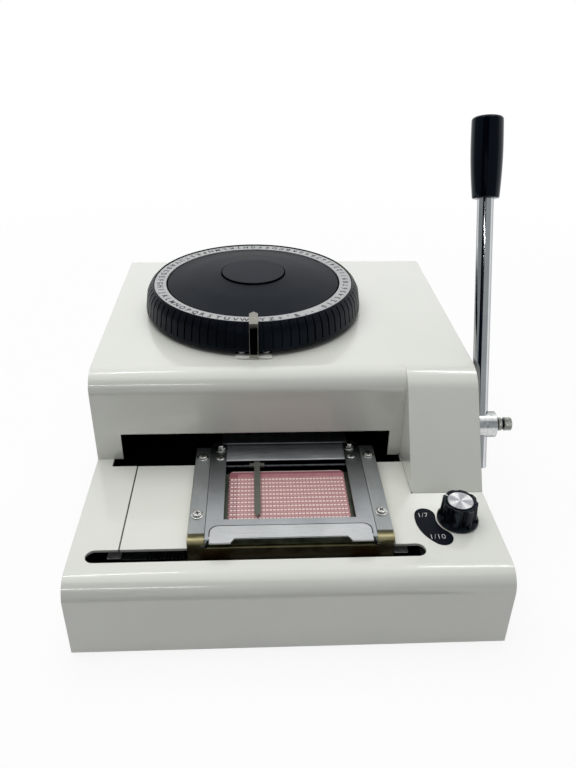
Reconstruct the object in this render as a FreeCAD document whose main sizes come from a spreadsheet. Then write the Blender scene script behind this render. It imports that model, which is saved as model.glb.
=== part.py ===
import FreeCAD, Part
import math
import os
from types import SimpleNamespace

import Sketcher

# A manual card embosser: two type wheels on one spindle, turned by the dial on the roof. Pulling
# the lever swings a crank, two links carry the swing to an upper and a lower cam shaft, and the
# cams close a pair of plungers on the type that stands at the punch. The card carriage slides
# across the deck, and the card frame slides fore and aft on it.
#
# Machine frame, millimetres: X from the middle of the body, Y from the front face towards the
# back, Z from the lower edge of the base cover. The row frame stands on the feet, centred under
# the whole object, so every sub-part is placed by mid_x, front_y and base_z.

V = FreeCAD.Vector
os.makedirs("parts", exist_ok=True)
doc = FreeCAD.newDocument("card_embosser")

SIZES = {
    # card and its frame
    "card_width": 85.6, "card_depth": 54.0, "card_wall": 0.8, "card_round": 3.18,
    "frame_half": 57.2, "sheet_wall": 1.2, "web_wall": 1.5, "arm_width": 11.95,
    "border_depth": 5.8, "card_inset": 4.5, "nose_reach": 0.7, "foot_reach": 2.8,
    "web_end_gap": 3.0, "bar_set": 8.4, "bar_lap": 15.1, "arm_reach": 3.5,
    "jaw_inset": 8.2, "jaw_post_inset": 3.0, "jaw_post_radius": 2.8, "jaw_slit": 0.85,
    "jaw_wall": 1.0, "jaw_arm_gap": 0.7, "jaw_punch_gap": 2.5, "tray_set": 2.6,
    "tray_margin": 0.4, "fence_height": 3.0, "fence_gap": 1.6, "arm_screw_inset": 7.4,
    "arm_screw_set": 18.5, "stud_screw_set": 6.4, "stud_height": 4.5,
    "bar_tab_reach": 3.5, "bar_tab_half": 4.0,
    # clamp lip
    "lip_gap": 0.4, "lip_side_gap": 1.7, "lip_reach": 5.5, "lip_back_depth": 10.3,
    "lip_wall": 1.4, "lip_round": 6.0, "lip_notch_depth": 4.2, "lip_notch_run": 2.7,
    "lip_tab_width": 14.0,
    "lip_pin_radius": 1.2, "pin_set": 2.5, "pin_drop": 0.5, "lug_height": 3.4,
    "lug_half_depth": 3.5,
    # carriage
    "rest_offset": 23.5, "rail_width": 11.5, "strip_height": 10.0, "strip_wall": 2.0,
    "strip_inset": 0.5, "strip_set": 3.8, "strip_screw_inset": 5.7, "near_screw_set": 17.7,
    "far_screw_set": 13.2, "deck_gap": 0.5, "plate_wall": 1.2, "flange_wall": 1.5,
    "flange_height": 27.0, "bend_radius": 2.5, "groove_gap": 0.4, "front_rail_y": 24.5,
    "front_rail_drop": 15.0, "front_rail_radius": 5.0, "slider_wall": 2.0,
    "slider_back_wall": 1.2, "slider_half_height": 7.0, "slider_inset": 8.0,
    "slider_length": 20.0, "rear_rail_radius": 3.0, "rear_rail_drop": 7.0,
    "rear_slider_wall": 0.8, "rear_slider_inset": 2.0, "rear_slider_below": 5.5,
    "cross_rod_radius": 0.9, "cross_rod_set": 4.9, "rod_gap": 0.2, "print_gap": 0.5,
    "wheel_gap": 0.6, "pawl_half": 3.0, "pawl_gap": 1.2, "pawl_wall": 4.0,
    # spacing rack
    "tooth_pitch": 2.54, "tooth_count": 60, "tooth_width": 1.6, "tooth_depth": 1.2,
    "rack_drop": 11.0, "rack_height": 12.0, "rack_depth": 6.0, "rack_gap": 2.8,
    "post_step": 1.0, "post_rise": 2.0, "post_width": 9.4, "post_foot_depth": 16.0,
    "post_left_set": 12.8, "post_right_set": 15.4,
    # covers
    "deck_height": 59.0, "skin": 2.0, "seam": 0.3, "base_round": 15.0, "roof_round": 16.0,
    "back_round": 4.0, "carriage_gap": 0.5, "roof_gap": 1.0, "wheel_rear_gap": 5.5,
    "column_gap": 1.0, "column_depth": 49.0, "column_slope": 56.0, "column_round": 25.0,
    "column_lap": 15.0, "throat_left_set": 9.8, "throat_right_set": 4.7,
    "throat_height": 23.3, "slot_before": 3.2, "slot_gap": 0.5, "slot_left_set": 1.0,
    "slot_right_set": 0.3, "plate_lap": 0.4, "plate_gap": 1.4, "bay_left_set": 2.5,
    "bay_right_set": 0.7, "well_set": 4.5, "well_wall_gap": 2.0, "well_depth": 29.0,
    "ledge_width": 12.0, "ledge_wall": 1.5, "foot_height": 4.0, "foot_radius": 12.0,
    "foot_inset": 25.0, "floor_wall": 3.0,
    # chassis
    "gap": 0.3, "fit": 0.05, "frame_wall": 4.0, "wheel_left_gap": 6.5, "wheel_right_gap": 3.5,
    "frame_side_gap": 6.0, "press_bay_width": 54.0, "frame_front_gap": 0.5,
    "frame_rear_gap": 9.0, "frame_step_gap": 2.5, "frame_bevel": 14.0, "frame_head_gap": 4.15,
    "bridge_wall": 3.0, "bridge_half_depth": 35.0, "low_bridge_rise": 21.0,
    "low_bridge_margin": 0.5, "guide_half_depth": 9.0, "guide_height": 9.0,
    # spindle and wheels
    "type_radius": 100.0, "type_reach": 6.0, "type_width": 4.8, "type_clear": 0.1,
    "type_proud": 1.5, "type_count": 72, "rim_depth": 20.0, "wheel_rim": 12.0,
    "wheel_web": 6.0, "hub_wall": 8.0, "hub_rise": 4.0, "punch_set": 21.5,
    "spindle_radius": 9.0, "collar_wall": 5.0, "bush_wall": 4.0, "spindle_nose": 4.2,
    "detent_radius": 2.5, "detent_half_depth": 6.5,
    # dial
    "dial_radius": 92.7, "dial_lift": 4.6, "dial_height": 21.2, "rim_width": 8.1,
    "ring_width": 9.9, "ring_wall": 1.0, "dial_step": 4.0, "dial_web": 3.0,
    "dial_hub_height": 10.0, "rim_wall": 5.0, "rim_lip": 2.4, "rim_draft": 1.7,
    "shoulder_drop": 5.8, "shoulder_depth": 4.2, "crown_depth": 7.2, "crown_height": 2.0,
    "rib_count": 80, "rib_gap": 1.5, "rib_depth": 1.1, "disc_wall": 3.0, "disc_step": 0.5,
    "dome_bulge": 0.85, "cap_radius": 27.4, "cap_height": 8.2,
    "cap_wall": 2.5, "cap_lip": 1.0,
    # dial pointer
    "finger_width": 6.8, "finger_wall": 1.2, "finger_gap": 3.5, "finger_rise": 4.6,
    "finger_foot_half": 14.0, "finger_foot_depth": 14.0, "finger_screw_half": 9.4,
    "finger_screw_set": 10.4,
    # grid pointer
    "blade_wall": 0.5, "blade_half_width": 2.2, "blade_inset": 1.1, "blade_taper": 4.6,
    "blade_set": 1.4,
    "wing_half_width": 5.6, "wing_half_depth": 1.6,
    # lever
    "lever_rise": 27.0, "lever_set": 19.5, "lever_lean": 23.0, "lever_swing": 65.0,
    "shaft_radius": 7.0, "spacer_wall": 2.0, "spacer_length": 3.0, "hub_thick": 3.0,
    "hub_gap": 0.5, "hub_length": 18.5, "hub_socket_depth": 0.9, "hub_rod_set": 7.2,
    "rod_radius": 6.0, "rod_length": 256.5, "rod_tail_length": 34.0, "rod_bevel": 0.5,
    "grip_length": 59.2, "grip_cover_height": 9.1, "grip_low_radius": 10.0,
    "grip_waist_radius": 11.9, "grip_waist_height": 36.0, "grip_top_radius": 11.6,
    "grip_crown": 2.6, "grip_bevel": 1.0, "stud_radius": 3.0, "knurl_length": 13.3,
    "knurl_radius": 5.2, "band_length": 5.0, "waist_depth": 0.7,
    # press linkage
    "crank_throw": 14.0, "crank_middle": 170.0, "crank_wall": 6.0, "eye_radius": 6.0,
    "pin_radius": 2.5, "link_wall": 4.0, "link_pitch": 6.0, "link_gap": 1.0,
    "cam_shaft_radius": 5.0, "cam_radius": 9.0, "cam_width": 12.0, "cam_web": 4.0,
    "cam_web_gap": 3.0, "press_stroke": 2.5, "bearing_wall": 3.0, "bearing_width": 15.0,
    "bearing_side_gap": 4.0, "bearing_before": 13.0, "bearing_depth": 32.0,
    "bearing_above": 14.0, "stem_radius": 4.0, "head_wall": 2.0, "head_height": 3.0,
    "stem_show": 2.0, "head_room": 4.0,
    # spacing knob
    "knob_inset": 26.2, "knob_y": 55.0, "knob_skirt_radius": 14.35, "skirt_flare": 2.95,
    "knob_taper": 0.6, "knob_cap_inset": 1.95, "knob_height": 17.0, "knob_flutes": 8,
    "flute_radius": 5.0, "flute_depth": 1.3, "cap_rise": 0.6, "knob_cover": 0.8,
    "skirt_lip": 1.6, "skirt_height": 5.0, "knob_shaft_radius": 3.0, "knob_cam_gap": 7.0,
    "knob_cam_radius": 8.0, "knob_cam_height": 4.0, "label_gap": 0.85,
    "label_half_width": 7.3, "label_wall": 0.5, "label_start": 168.0, "label_end": 230.0,
    # small screws
    "washer_radius": 3.3, "washer_wall": 0.6, "pan_radius": 2.8, "pan_height": 1.7,
    "nut_radius": 2.9, "nut_height": 1.6, "stud_thread_radius": 1.5,
}

sheet = doc.addObject("Spreadsheet::Sheet", "Sizes")
for line, (alias, number) in enumerate(SIZES.items(), start=1):
    sheet.set(f"A{line}", alias)
    sheet.set(f"B{line}", str(number))
    sheet.setAlias(f"B{line}", alias)
doc.recompute()


class Size:
    """A length that is known as a number and as the sheet expression behind it."""

    def __init__(self, value, text):
        self.value = value
        self.text = text

    def __float__(self):
        return float(self.value)

    def __add__(self, other):
        other = as_size(other)
        return Size(self.value + other.value, f"({self.text} + {other.text})")

    def __sub__(self, other):
        other = as_size(other)
        return Size(self.value - other.value, f"({self.text} - {other.text})")

    def __mul__(self, other):
        other = as_size(other)
        return Size(self.value * other.value, f"({self.text} * {other.text})")

    def __truediv__(self, other):
        other = as_size(other)
        return Size(self.value / other.value, f"({self.text} / {other.text})")

    def __radd__(self, other):
        return as_size(other) + self

    def __rsub__(self, other):
        return as_size(other) - self

    def __rmul__(self, other):
        return as_size(other) * self

    def __neg__(self):
        return Size(-self.value, f"(-1 * {self.text})")


def as_size(number):
    return number if isinstance(number, Size) else Size(number, f"({float(number)!r})")


def cosine(angle):
    angle = as_size(angle)
    return Size(math.cos(math.radians(angle.value)), f"cos({angle.text} * 1 deg)")


def sine(angle):
    angle = as_size(angle)
    return Size(math.sin(math.radians(angle.value)), f"sin({angle.text} * 1 deg)")


def root(square):
    return Size(math.sqrt(square.value), f"sqrt({square.text})")


def bearing_angle(rise, run):
    """The angle in degrees of a line that goes `run` along and `rise` up."""
    value = math.degrees(math.atan2(rise.value, run.value))
    return Size(value, f"(atan2({rise.text}; {run.text}) / 1 deg)")


s = SimpleNamespace(**{alias: Size(number, f"Sizes.{alias}") for alias, number in SIZES.items()})

# Across: the wheels set how far the side frames stand apart, and the frames set the covers.
wheel_radius = s.type_radius + s.type_reach
type_root = s.type_radius - s.type_reach
rim_inner = s.type_radius - s.rim_depth
left_part = wheel_radius + s.wheel_left_gap + s.frame_wall + s.frame_side_gap
right_part = wheel_radius + s.wheel_right_gap + s.frame_wall + s.press_bay_width
body_width = left_part + right_part
half = body_width / 2
wall_inner = half - s.skin
mechanism_x = left_part - half
frame_left_x = s.frame_side_gap - half
frame_left_inner = frame_left_x + s.frame_wall
frame_right_x = mechanism_x + wheel_radius + s.wheel_right_gap
frame_right_outer = frame_right_x + s.frame_wall
column_left = frame_right_outer + s.column_gap
throat_left = frame_left_inner + s.throat_left_set
throat_right = frame_right_x - s.throat_right_set
slot_left = frame_left_inner + s.slot_left_set
slot_right = frame_right_outer - s.slot_right_set
bay_left = frame_left_inner + s.bay_left_set
bay_right = frame_right_outer + s.bay_right_set
well_left = frame_right_outer + s.well_set
well_right = wall_inner - s.well_wall_gap
post_left = frame_left_inner + s.post_left_set
post_right = frame_right_x - s.post_right_set
plate_left = post_left + s.post_width - s.plate_lap
plate_right = post_right - s.plate_lap
knob_x = half - s.knob_inset
bearing_span = s.bearing_width
bearing_x = wall_inner - s.bearing_side_gap - s.bearing_wall - bearing_span
crank_x = bearing_x - s.spacer_length - s.crank_wall
hub_start = half + s.hub_gap
rod_x = hub_start + s.hub_rod_set
thumb_start = hub_start + s.hub_length
lever_reach = thumb_start + s.knurl_length - half

carriage_x = mechanism_x + s.rest_offset
rail_inner = s.frame_half + s.gap
rail_outer = rail_inner + s.rail_width
strip_outer = rail_outer - s.strip_inset
strip_screw_x = rail_inner + s.strip_screw_inset
foot_out = s.frame_half + s.foot_reach
groove_x = foot_out + s.groove_gap
slider_outer = rail_outer - s.slider_inset
slider_inner = slider_outer - s.slider_length
rear_slider_half = rail_outer - s.rear_slider_inset
web_inner = s.frame_half - s.web_wall
window_half = s.frame_half - s.arm_width
lip_half = web_inner - s.lip_side_gap
lug_inner = lip_half - s.lip_wall
lip_notch_half = lip_half - s.lip_tab_width
tray_half = lug_inner - s.fence_gap
jaw_half = s.frame_half - s.jaw_inset
jaw_post_x = jaw_half - s.jaw_post_inset
arm_screw_x = s.frame_half - s.arm_screw_inset

# Fore and aft: the front rail carries the carriage, whose length follows the card.
slider_front = s.front_rail_y - s.front_rail_radius - s.slider_wall
flange_front = s.front_rail_y + s.front_rail_radius + s.slider_back_wall
flange_rear = flange_front + s.flange_wall
slot_front = s.front_rail_y - s.slot_before
slot_rear = flange_rear + s.slot_gap
strip_start = flange_rear + s.strip_set
rack_front = flange_rear + s.rack_gap
rack_rear = rack_front + s.rack_depth
post_front = rack_front - s.post_step
frame_nose = flange_front - s.nose_reach
lip_pin_y = frame_nose + s.pin_set
lip_front = lip_pin_y - s.lip_reach
lip_back = lip_pin_y + s.lip_back_depth
lip_rear = lip_back + s.lip_gap
window_front = lip_rear + s.border_depth
tray_front = frame_nose + s.tray_set
card_front = window_front + s.card_inset
card_rear = card_front + s.card_depth
rod_y = card_rear + s.cross_rod_set
web_rear = rod_y - s.web_end_gap
bar_front = card_rear + s.bar_set
carriage_rear = bar_front + s.bar_lap
frame_tail = carriage_rear + s.arm_reach
arm_screw_y = frame_tail - s.arm_screw_set
stud_screw_y = frame_tail - s.stud_screw_set
near_screw_y = strip_start + s.near_screw_set
far_screw_y = carriage_rear - s.far_screw_set
rear_rail_y = carriage_rear - s.rear_slider_wall - s.rear_rail_radius
rear_slider_front = 2 * rear_rail_y - carriage_rear
plate_rear = rear_slider_front - s.plate_gap
housing_front = carriage_rear + s.carriage_gap
housing_back = housing_front + s.skin
punch_y = carriage_rear + s.punch_set
spindle_y = punch_y + s.type_radius
jaw_front = frame_tail + s.jaw_arm_gap
jaw_rear = punch_y - s.jaw_punch_gap
blade_tip = card_front + s.blade_inset
blade_shoulder = blade_tip + s.blade_taper
lever_y = punch_y - s.lever_set
well_front = lever_y - s.well_depth
bearing_front = lever_y - s.bearing_before
column_foot = lever_y - s.column_depth
frame_front = s.base_round + s.frame_front_gap
frame_step = housing_back + s.frame_step_gap
body_depth = spindle_y + wheel_radius + s.wheel_rear_gap
frame_rear = body_depth - s.frame_rear_gap

# Upwards: the deck, the stack of sheets on it, the wheels over and under the card, the cams.
deck = s.deck_height
deck_under = deck - s.skin
strip_top = deck + s.strip_height
rail_top = strip_top - s.strip_wall
base_low = deck + s.deck_gap
base_top = base_low + s.plate_wall
flange_low = base_low - s.flange_height
front_rail_z = deck_under - s.front_rail_drop
rear_rail_z = deck - s.rear_rail_drop
rack_top = deck - s.rack_drop
post_top = rack_top + s.post_rise
plate_low = strip_top - s.sheet_wall
bar_low = plate_low - s.sheet_wall
blade_low = bar_low - s.gap - s.blade_wall
cross_z = blade_low - s.rod_gap - s.cross_rod_radius
card_top = cross_z - s.cross_rod_radius - s.print_gap
tray_top = card_top - s.card_wall
tray_low = tray_top - s.sheet_wall
fence_top = tray_top + s.fence_height
jaw_low = plate_low + s.jaw_slit
jaw_top = jaw_low + s.jaw_wall
lower_wheel_top = bar_low - s.wheel_gap
upper_wheel_low = jaw_top + s.wheel_gap
upper_type_top = upper_wheel_low + s.wheel_rim + s.type_proud
lower_type_low = lower_wheel_top - s.wheel_rim - s.type_proud
lever_z = deck + s.lever_rise
bearing_top = lever_z + s.bearing_above
throat_top = deck + s.throat_height
low_bridge_z = s.floor_wall + s.low_bridge_rise
eccentric = s.press_stroke / (2 * sine(s.lever_swing / 2))
crank_rest = s.crank_middle - s.lever_swing / 2

upper_stem_low = upper_type_top + s.gap + s.press_stroke
upper_guide_low = upper_stem_low + s.stem_show
upper_head_low = upper_guide_low + s.guide_height + s.head_room
upper_head_top = upper_head_low + s.head_height
upper_cam_z = upper_head_top + s.gap + s.cam_radius - s.press_stroke / 2
lower_stem_top = lower_type_low - s.gap - s.press_stroke
lower_guide_top = lower_stem_top - s.stem_show
lower_guide_low = lower_guide_top - s.guide_height
lower_head_top = lower_guide_low - s.head_room
lower_head_low = lower_head_top - s.head_height
lower_cam_z = lower_head_low - s.gap - s.cam_radius + s.press_stroke / 2
frame_top = upper_cam_z + s.cam_radius + s.press_stroke / 2 + s.frame_head_gap
roof = frame_top + s.bridge_wall + s.roof_gap + s.skin

# The dial, and the collars and bushes that follow the spindle.
dial_base = roof + s.dial_lift
dial_face = dial_base + s.dial_height
cap_top = dial_face + s.cap_height
ring_outer = s.dial_radius - s.rim_width
ring_inner = ring_outer - s.ring_width
finger_front = spindle_y - s.dial_radius - s.finger_gap
finger_tip = spindle_y - ring_inner
finger_top = dial_face + s.finger_rise
collar_radius = s.spindle_radius + s.collar_wall
bush_radius = s.spindle_radius + s.bush_wall
bush_flange = bush_radius + s.bush_wall
low_bridge_half = bush_flange + s.low_bridge_margin
wheel_hub = collar_radius + s.hub_wall
spacer_radius = s.shaft_radius + s.spacer_wall
hub_radius = s.shaft_radius + s.hub_thick
head_radius = s.stem_radius + s.head_wall
knob_neck = s.knob_skirt_radius - s.skirt_flare
knob_top_radius = knob_neck - s.knob_taper
knob_cap_radius = knob_top_radius - s.knob_cap_inset
label_inner = s.knob_skirt_radius + s.label_gap
label_radius = label_inner + s.label_half_width
label_outer = label_radius + s.label_half_width

mid_x = -(lever_reach / 2)
front_y = -(body_depth / 2)
base_z = s.foot_height

ORIGIN = (as_size(0), as_size(0), as_size(0))
HALF_TURN = 180
QUARTER_TURN = 90
CROWN_STEPS = 3
AXIS_TURN = {
    "x": FreeCAD.Rotation(V(0, 1, 0), 90),
    "y": FreeCAD.Rotation(V(1, 0, 0), -90),
    "z": FreeCAD.Rotation(),
}
# Each base plane's role, and whether its normal points up its own axis.
PLANES = {"XY": ("XY_Plane", 1), "XZ": ("XZ_Plane", -1), "YZ": ("YZ_Plane", 1)}
corner_of = {}
side_of = {}
nodes = {}


def bind(item, **lengths):
    for name, length in lengths.items():
        item.setExpression(name, as_size(length).text)


def locate(item, corner):
    """Binds the place of an item in the machine frame."""
    corner_of[item.Name] = tuple(as_size(value) for value in corner)
    for axis, value in zip("xyz", corner_of[item.Name]):
        item.setExpression(f"Placement.Base.{axis}", value.text)


def node(name, item, corner=None, lean=None):
    """Makes an item a sub-part: its label, and its place in the row frame."""
    item.Label = name
    own = corner or corner_of.get(item.Name, ORIGIN)
    if lean is not None:
        item.Placement = FreeCAD.Placement(V(), FreeCAD.Rotation(V(1, 0, 0), 1))
        item.setExpression("Placement.Rotation.Angle", f"{as_size(lean).text} * 1 deg")
    for axis, frame, value in zip("xyz", (mid_x, front_y, base_z), own):
        item.setExpression(f"Placement.Base.{axis}", (frame + value).text)
    nodes[name] = item
    return item


# Part primitives and booleans

def box(name, low, high):
    item = doc.addObject("Part::Box", name)
    bind(item, Length=high[0] - low[0], Width=high[1] - low[1], Height=high[2] - low[2])
    locate(item, low)
    return item


def rod(name, axis, radius, start, length):
    item = doc.addObject("Part::Cylinder", name)
    bind(item, Radius=radius, Height=length)
    item.Placement = FreeCAD.Placement(V(), AXIS_TURN[axis])
    locate(item, start)
    return item


def fuse(name, *items):
    item = doc.addObject("Part::MultiFuse", name)
    item.Shapes = list(items)
    return item


def group(name, *items):
    item = doc.addObject("Part::Compound", name)
    item.Links = list(items)
    return item


def cut(name, base, *tools):
    item = doc.addObject("Part::Cut", name)
    item.Base = base
    item.Tool = tools[0] if len(tools) == 1 else group(f"{name}_tools", *tools)
    return item


# PartDesign bodies

def body(name):
    return doc.addObject("PartDesign::Body", name)


def origin_feature(item, role):
    return next(part for part in item.Origin.OriginFeatures if part.Role == role)


def sketch(item, name, plane, height=0):
    view = item.newObject("Sketcher::SketchObject", f"{item.Name}_{name}_sketch")
    role, side = PLANES[plane]
    view.AttachmentSupport = (origin_feature(item, role), "")
    view.MapMode = "FlatFace"
    view.setExpression("AttachmentOffset.Base.z", (as_size(height) * side).text)
    side_of[view.Name] = side
    return view


def fix_point(view, edge, end, point):
    """Ties one point of a sketch edge to its two coordinates."""
    for kind, value in zip(("DistanceX", "DistanceY"), point):
        value = as_size(value)
        index = view.addConstraint(Sketcher.Constraint(kind, edge, end, value.value))
        view.setExpression(f"Constraints[{index}]", value.text)


def fix_radius(view, edge, radius):
    index = view.addConstraint(Sketcher.Constraint("Radius", edge, float(radius)))
    view.setExpression(f"Constraints[{index}]", as_size(radius).text)


def fix_centre(view, arc, chord, centre):
    """Ties an arc's centre by the coordinate that its two ends leave free."""
    kind, value = ("DistanceY", centre[1]) if abs(chord.x) > abs(chord.y) else \
        ("DistanceX", centre[0])
    value = as_size(value)
    index = view.addConstraint(Sketcher.Constraint(kind, arc, 3, value.value))
    view.setExpression(f"Constraints[{index}]", value.text)


def outline(view, *corners):
    """Draws a closed outline. A corner is (x, y), or (x, y, centre, turn) where an arc leaves
    it; turn is 1 for an arc that runs anticlockwise and -1 for one that runs clockwise."""
    first = view.GeometryCount
    points = [V(float(corner[0]), float(corner[1]), 0) for corner in corners]
    ends = []
    for start, end, corner in zip(points, points[1:] + points[:1], corners):
        if len(corner) == 2:
            view.addGeometry(Part.LineSegment(start, end), False)
            ends.append((1, 2))
            continue
        middle = V(float(corner[2][0]), float(corner[2][1]), 0)
        low, high = (start, end) if corner[3] > 0 else (end, start)
        angles = [math.atan2(p.y - middle.y, p.x - middle.x) for p in (low, high)]
        if angles[1] <= angles[0]:
            angles[1] += 2 * math.pi
        ring = Part.Circle(middle, V(0, 0, 1), middle.distanceToPoint(start))
        view.addGeometry(Part.ArcOfCircle(ring, *angles), False)
        ends.append((1, 2) if corner[3] > 0 else (2, 1))
    for index, corner in enumerate(corners):
        edge = first + index
        before = first + (index - 1) % len(corners)
        view.addConstraint(Sketcher.Constraint("Coincident", before, ends[index - 1][1],
                                               edge, ends[index][0]))
        fix_point(view, edge, ends[index][0], corner[:2])
        if len(corner) > 2:
            chord = points[(index + 1) % len(points)] - points[index]
            fix_centre(view, edge, chord, corner[2])


def rectangle(view, low, high):
    outline(view, (low[0], low[1]), (high[0], low[1]), (high[0], high[1]), (low[0], high[1]))


def circle(view, centre, radius):
    edge = view.addGeometry(Part.Circle(V(float(centre[0]), float(centre[1]), 0), V(0, 0, 1),
                                        float(radius)), False)
    fix_point(view, edge, 3, centre)
    fix_radius(view, edge, radius)


def obround(view, start, end, radius):
    """A slot outline along the sketch's first axis between two end centres at one height."""
    low, high = start[1] - radius, start[1] + radius
    outline(view, (start[0], low), (end[0], low, end, 1), (end[0], high),
            (start[0], high, start, 1))


def pad(item, name, view, length):
    """Adds the sketched area, from its plane up its axis."""
    feature = item.newObject("PartDesign::Pad", f"{item.Name}_{name}")
    feature.Profile = view
    bind(feature, Length=length)
    feature.Reversed = side_of[view.Name] < 0
    return feature


def pocket(item, name, view, length):
    """Cuts the sketched area, from its plane up its axis, and makes sure that it cuts."""
    doc.recompute()
    before = item.Shape.Volume
    feature = item.newObject("PartDesign::Pocket", f"{item.Name}_{name}")
    feature.Profile = view
    bind(feature, Length=length)
    feature.Reversed = side_of[view.Name] > 0
    doc.recompute()
    if item.Shape.Volume >= before:
        raise ValueError(f"{feature.Name} cuts nothing")
    return feature


def disc(item, name, plane, start, length, centre, radius):
    view = sketch(item, name, plane, start)
    circle(view, centre, radius)
    return pad(item, name, view, length)


def bore(item, name, plane, start, length, centre, radius):
    view = sketch(item, name, plane, start)
    circle(view, centre, radius)
    return pocket(item, name, view, length)


def slab(item, name, plane, start, length, low, high):
    view = sketch(item, name, plane, start)
    rectangle(view, low, high)
    return pad(item, name, view, length)


def notch(item, name, plane, start, length, low, high):
    view = sketch(item, name, plane, start)
    rectangle(view, low, high)
    return pocket(item, name, view, length)


def turned(item, name, *corners):
    """Revolves an outline of (radius, height) corners about the body's own Z axis."""
    view = sketch(item, name, "XZ")
    outline(view, *corners)
    feature = item.newObject("PartDesign::Revolution", f"{item.Name}_{name}")
    feature.Profile = view
    feature.ReferenceAxis = (view, ["V_Axis"])
    feature.Angle = 360
    return feature


def around(item, feature, count):
    """Repeats a feature evenly about the body's own Z axis."""
    pattern = item.newObject("PartDesign::PolarPattern", f"{feature.Name}_ring")
    pattern.Originals = [feature]
    pattern.Axis = (origin_feature(item, "Z_Axis"), [""])
    pattern.Angle = 360
    bind(pattern, Occurrences=count)
    item.Tip = pattern
    return pattern


# Covers

base_cover = body("base_cover")
shell = sketch(base_cover, "shell", "YZ", -half)
round_middle = (s.base_round, deck - s.base_round)
outline(shell, (0, 0), (body_depth, 0), (body_depth, deck),
        (s.base_round, deck, round_middle, 1), (0, deck - s.base_round))
pad(base_cover, "shell", shell, body_width)
hollow = sketch(base_cover, "hollow", "YZ", -wall_inner)
outline(hollow, (s.skin, 0), (body_depth - s.skin, 0), (body_depth - s.skin, deck),
        (housing_back, deck), (housing_back, deck - s.skin),
        (s.base_round, deck - s.skin, round_middle, 1),
        (s.skin, deck - s.base_round))
pocket(base_cover, "hollow", hollow, 2 * wall_inner)
bed = sketch(base_cover, "bed", "XY", deck_under)
bed_left = plate_left - s.seam
bed_right = plate_right + s.seam
bay_front = plate_rear + s.seam
slot_middle = (slot_front + slot_rear) / 2
slot_radius = (slot_rear - slot_front) / 2
slot_ends = ((slot_left + slot_radius, slot_middle), (slot_right - slot_radius, slot_middle))
outline(bed, (bed_left, slot_middle), (bed_right, slot_middle), (bed_right, bay_front),
        (bay_right, bay_front), (bay_right, housing_back), (bay_left, housing_back),
        (bay_left, bay_front), (bed_left, bay_front))
pocket(base_cover, "bed", bed, s.skin)
slot = sketch(base_cover, "slot", "XY", deck_under)
obround(slot, *slot_ends, slot_radius)
pocket(base_cover, "slot", slot, s.skin)
notch(base_cover, "well", "XY", deck_under, s.skin, (well_left, well_front),
      (well_right, housing_back))
bore(base_cover, "knob_hole", "XY", deck_under, s.skin, (knob_x, s.knob_y),
     s.knob_shaft_radius + s.gap)
ledges = sketch(base_cover, "ledges", "XY", deck_under - s.ledge_wall)
for edge in (plate_left, plate_right):
    rectangle(ledges, (edge - s.ledge_width / 2, strip_start),
              (edge + s.ledge_width / 2, plate_rear))
pad(base_cover, "ledges", ledges, s.ledge_wall)
node("base_cover", base_cover)

deck_plate = body("deck_plate")
slab(deck_plate, "sheet", "XY", deck_under, s.skin, (plate_left, slot_middle + s.seam),
     (plate_right, plate_rear))
plate_slot = sketch(deck_plate, "slot", "XY", deck_under)
obround(plate_slot, *slot_ends, slot_radius)
pocket(deck_plate, "slot", plate_slot, s.skin)
node("deck_plate", deck_plate)

upper_cover = body("upper_cover")
roof_under = roof - s.skin
front_middle = (housing_front + s.roof_round, roof - s.roof_round)
back_middle = (body_depth - s.back_round, roof - s.back_round)
housing = sketch(upper_cover, "housing", "YZ", -half)
outline(housing, (housing_front, deck), (body_depth, deck),
        (body_depth, roof - s.back_round, back_middle, 1),
        (body_depth - s.back_round, roof),
        (front_middle[0], roof, front_middle, 1),
        (housing_front, front_middle[1]))
pad(upper_cover, "housing", housing, body_width)
slope_run = cosine(s.column_slope)
slope_rise = sine(s.column_slope)
column_level = roof - s.column_round
column_crest = column_foot + (s.column_round + (column_level - deck) * slope_run) / slope_rise
column_middle = (column_crest, column_level)
column_back = housing_front + s.roof_round + s.column_lap


def column_outline(view, inset):
    bend = s.column_round - inset
    outline(view, (column_foot + inset / slope_rise, deck), (column_back, deck),
            (column_back, roof - inset),
            (column_crest, roof - inset, column_middle, 1),
            (column_crest - bend * slope_rise, column_level + bend * slope_run))


column = sketch(upper_cover, "column", "YZ", column_left)
column_outline(column, as_size(0))
pad(upper_cover, "column", column, half - column_left)
room = sketch(upper_cover, "room", "YZ", -wall_inner)
outline(room, (housing_back, deck), (body_depth - s.skin, deck),
        (body_depth - s.skin, roof - s.back_round, back_middle, 1),
        (body_depth - s.back_round, roof_under),
        (front_middle[0], roof_under, front_middle, 1),
        (housing_back, front_middle[1]))
pocket(upper_cover, "room", room, 2 * wall_inner)
shaft_room = sketch(upper_cover, "shaft_room", "YZ", column_left + s.skin)
column_outline(shaft_room, s.skin)
pocket(upper_cover, "shaft_room", shaft_room, half - column_left - 2 * s.skin)
notch(upper_cover, "throat", "XZ", housing_front, s.skin, (throat_left, deck),
      (throat_right, throat_top))
bore(upper_cover, "spindle_hole", "XY", roof_under, s.skin, (mechanism_x, spindle_y),
     collar_radius)
bore(upper_cover, "shaft_hole", "YZ", wall_inner, s.skin, (lever_y, lever_z),
     spacer_radius)
node("upper_cover", upper_cover)

floor_x = wall_inner - s.seam
node("bottom_plate", box("bottom_plate", (-floor_x, s.skin + s.seam, 0),
                         (floor_x, body_depth - s.skin - s.seam, s.floor_wall)))

foot_x = half - s.foot_inset
feet = [rod(f"foot_{index}", "z", s.foot_radius, (x, y, -s.foot_height), s.foot_height)
        for index, (x, y) in enumerate(((side, depth) for side in (-foot_x, foot_x)
                                        for depth in (s.foot_inset,
                                                      body_depth - s.foot_inset)))]
node("rubber_feet", fuse("rubber_feet", *feet))

# Chassis

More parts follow.
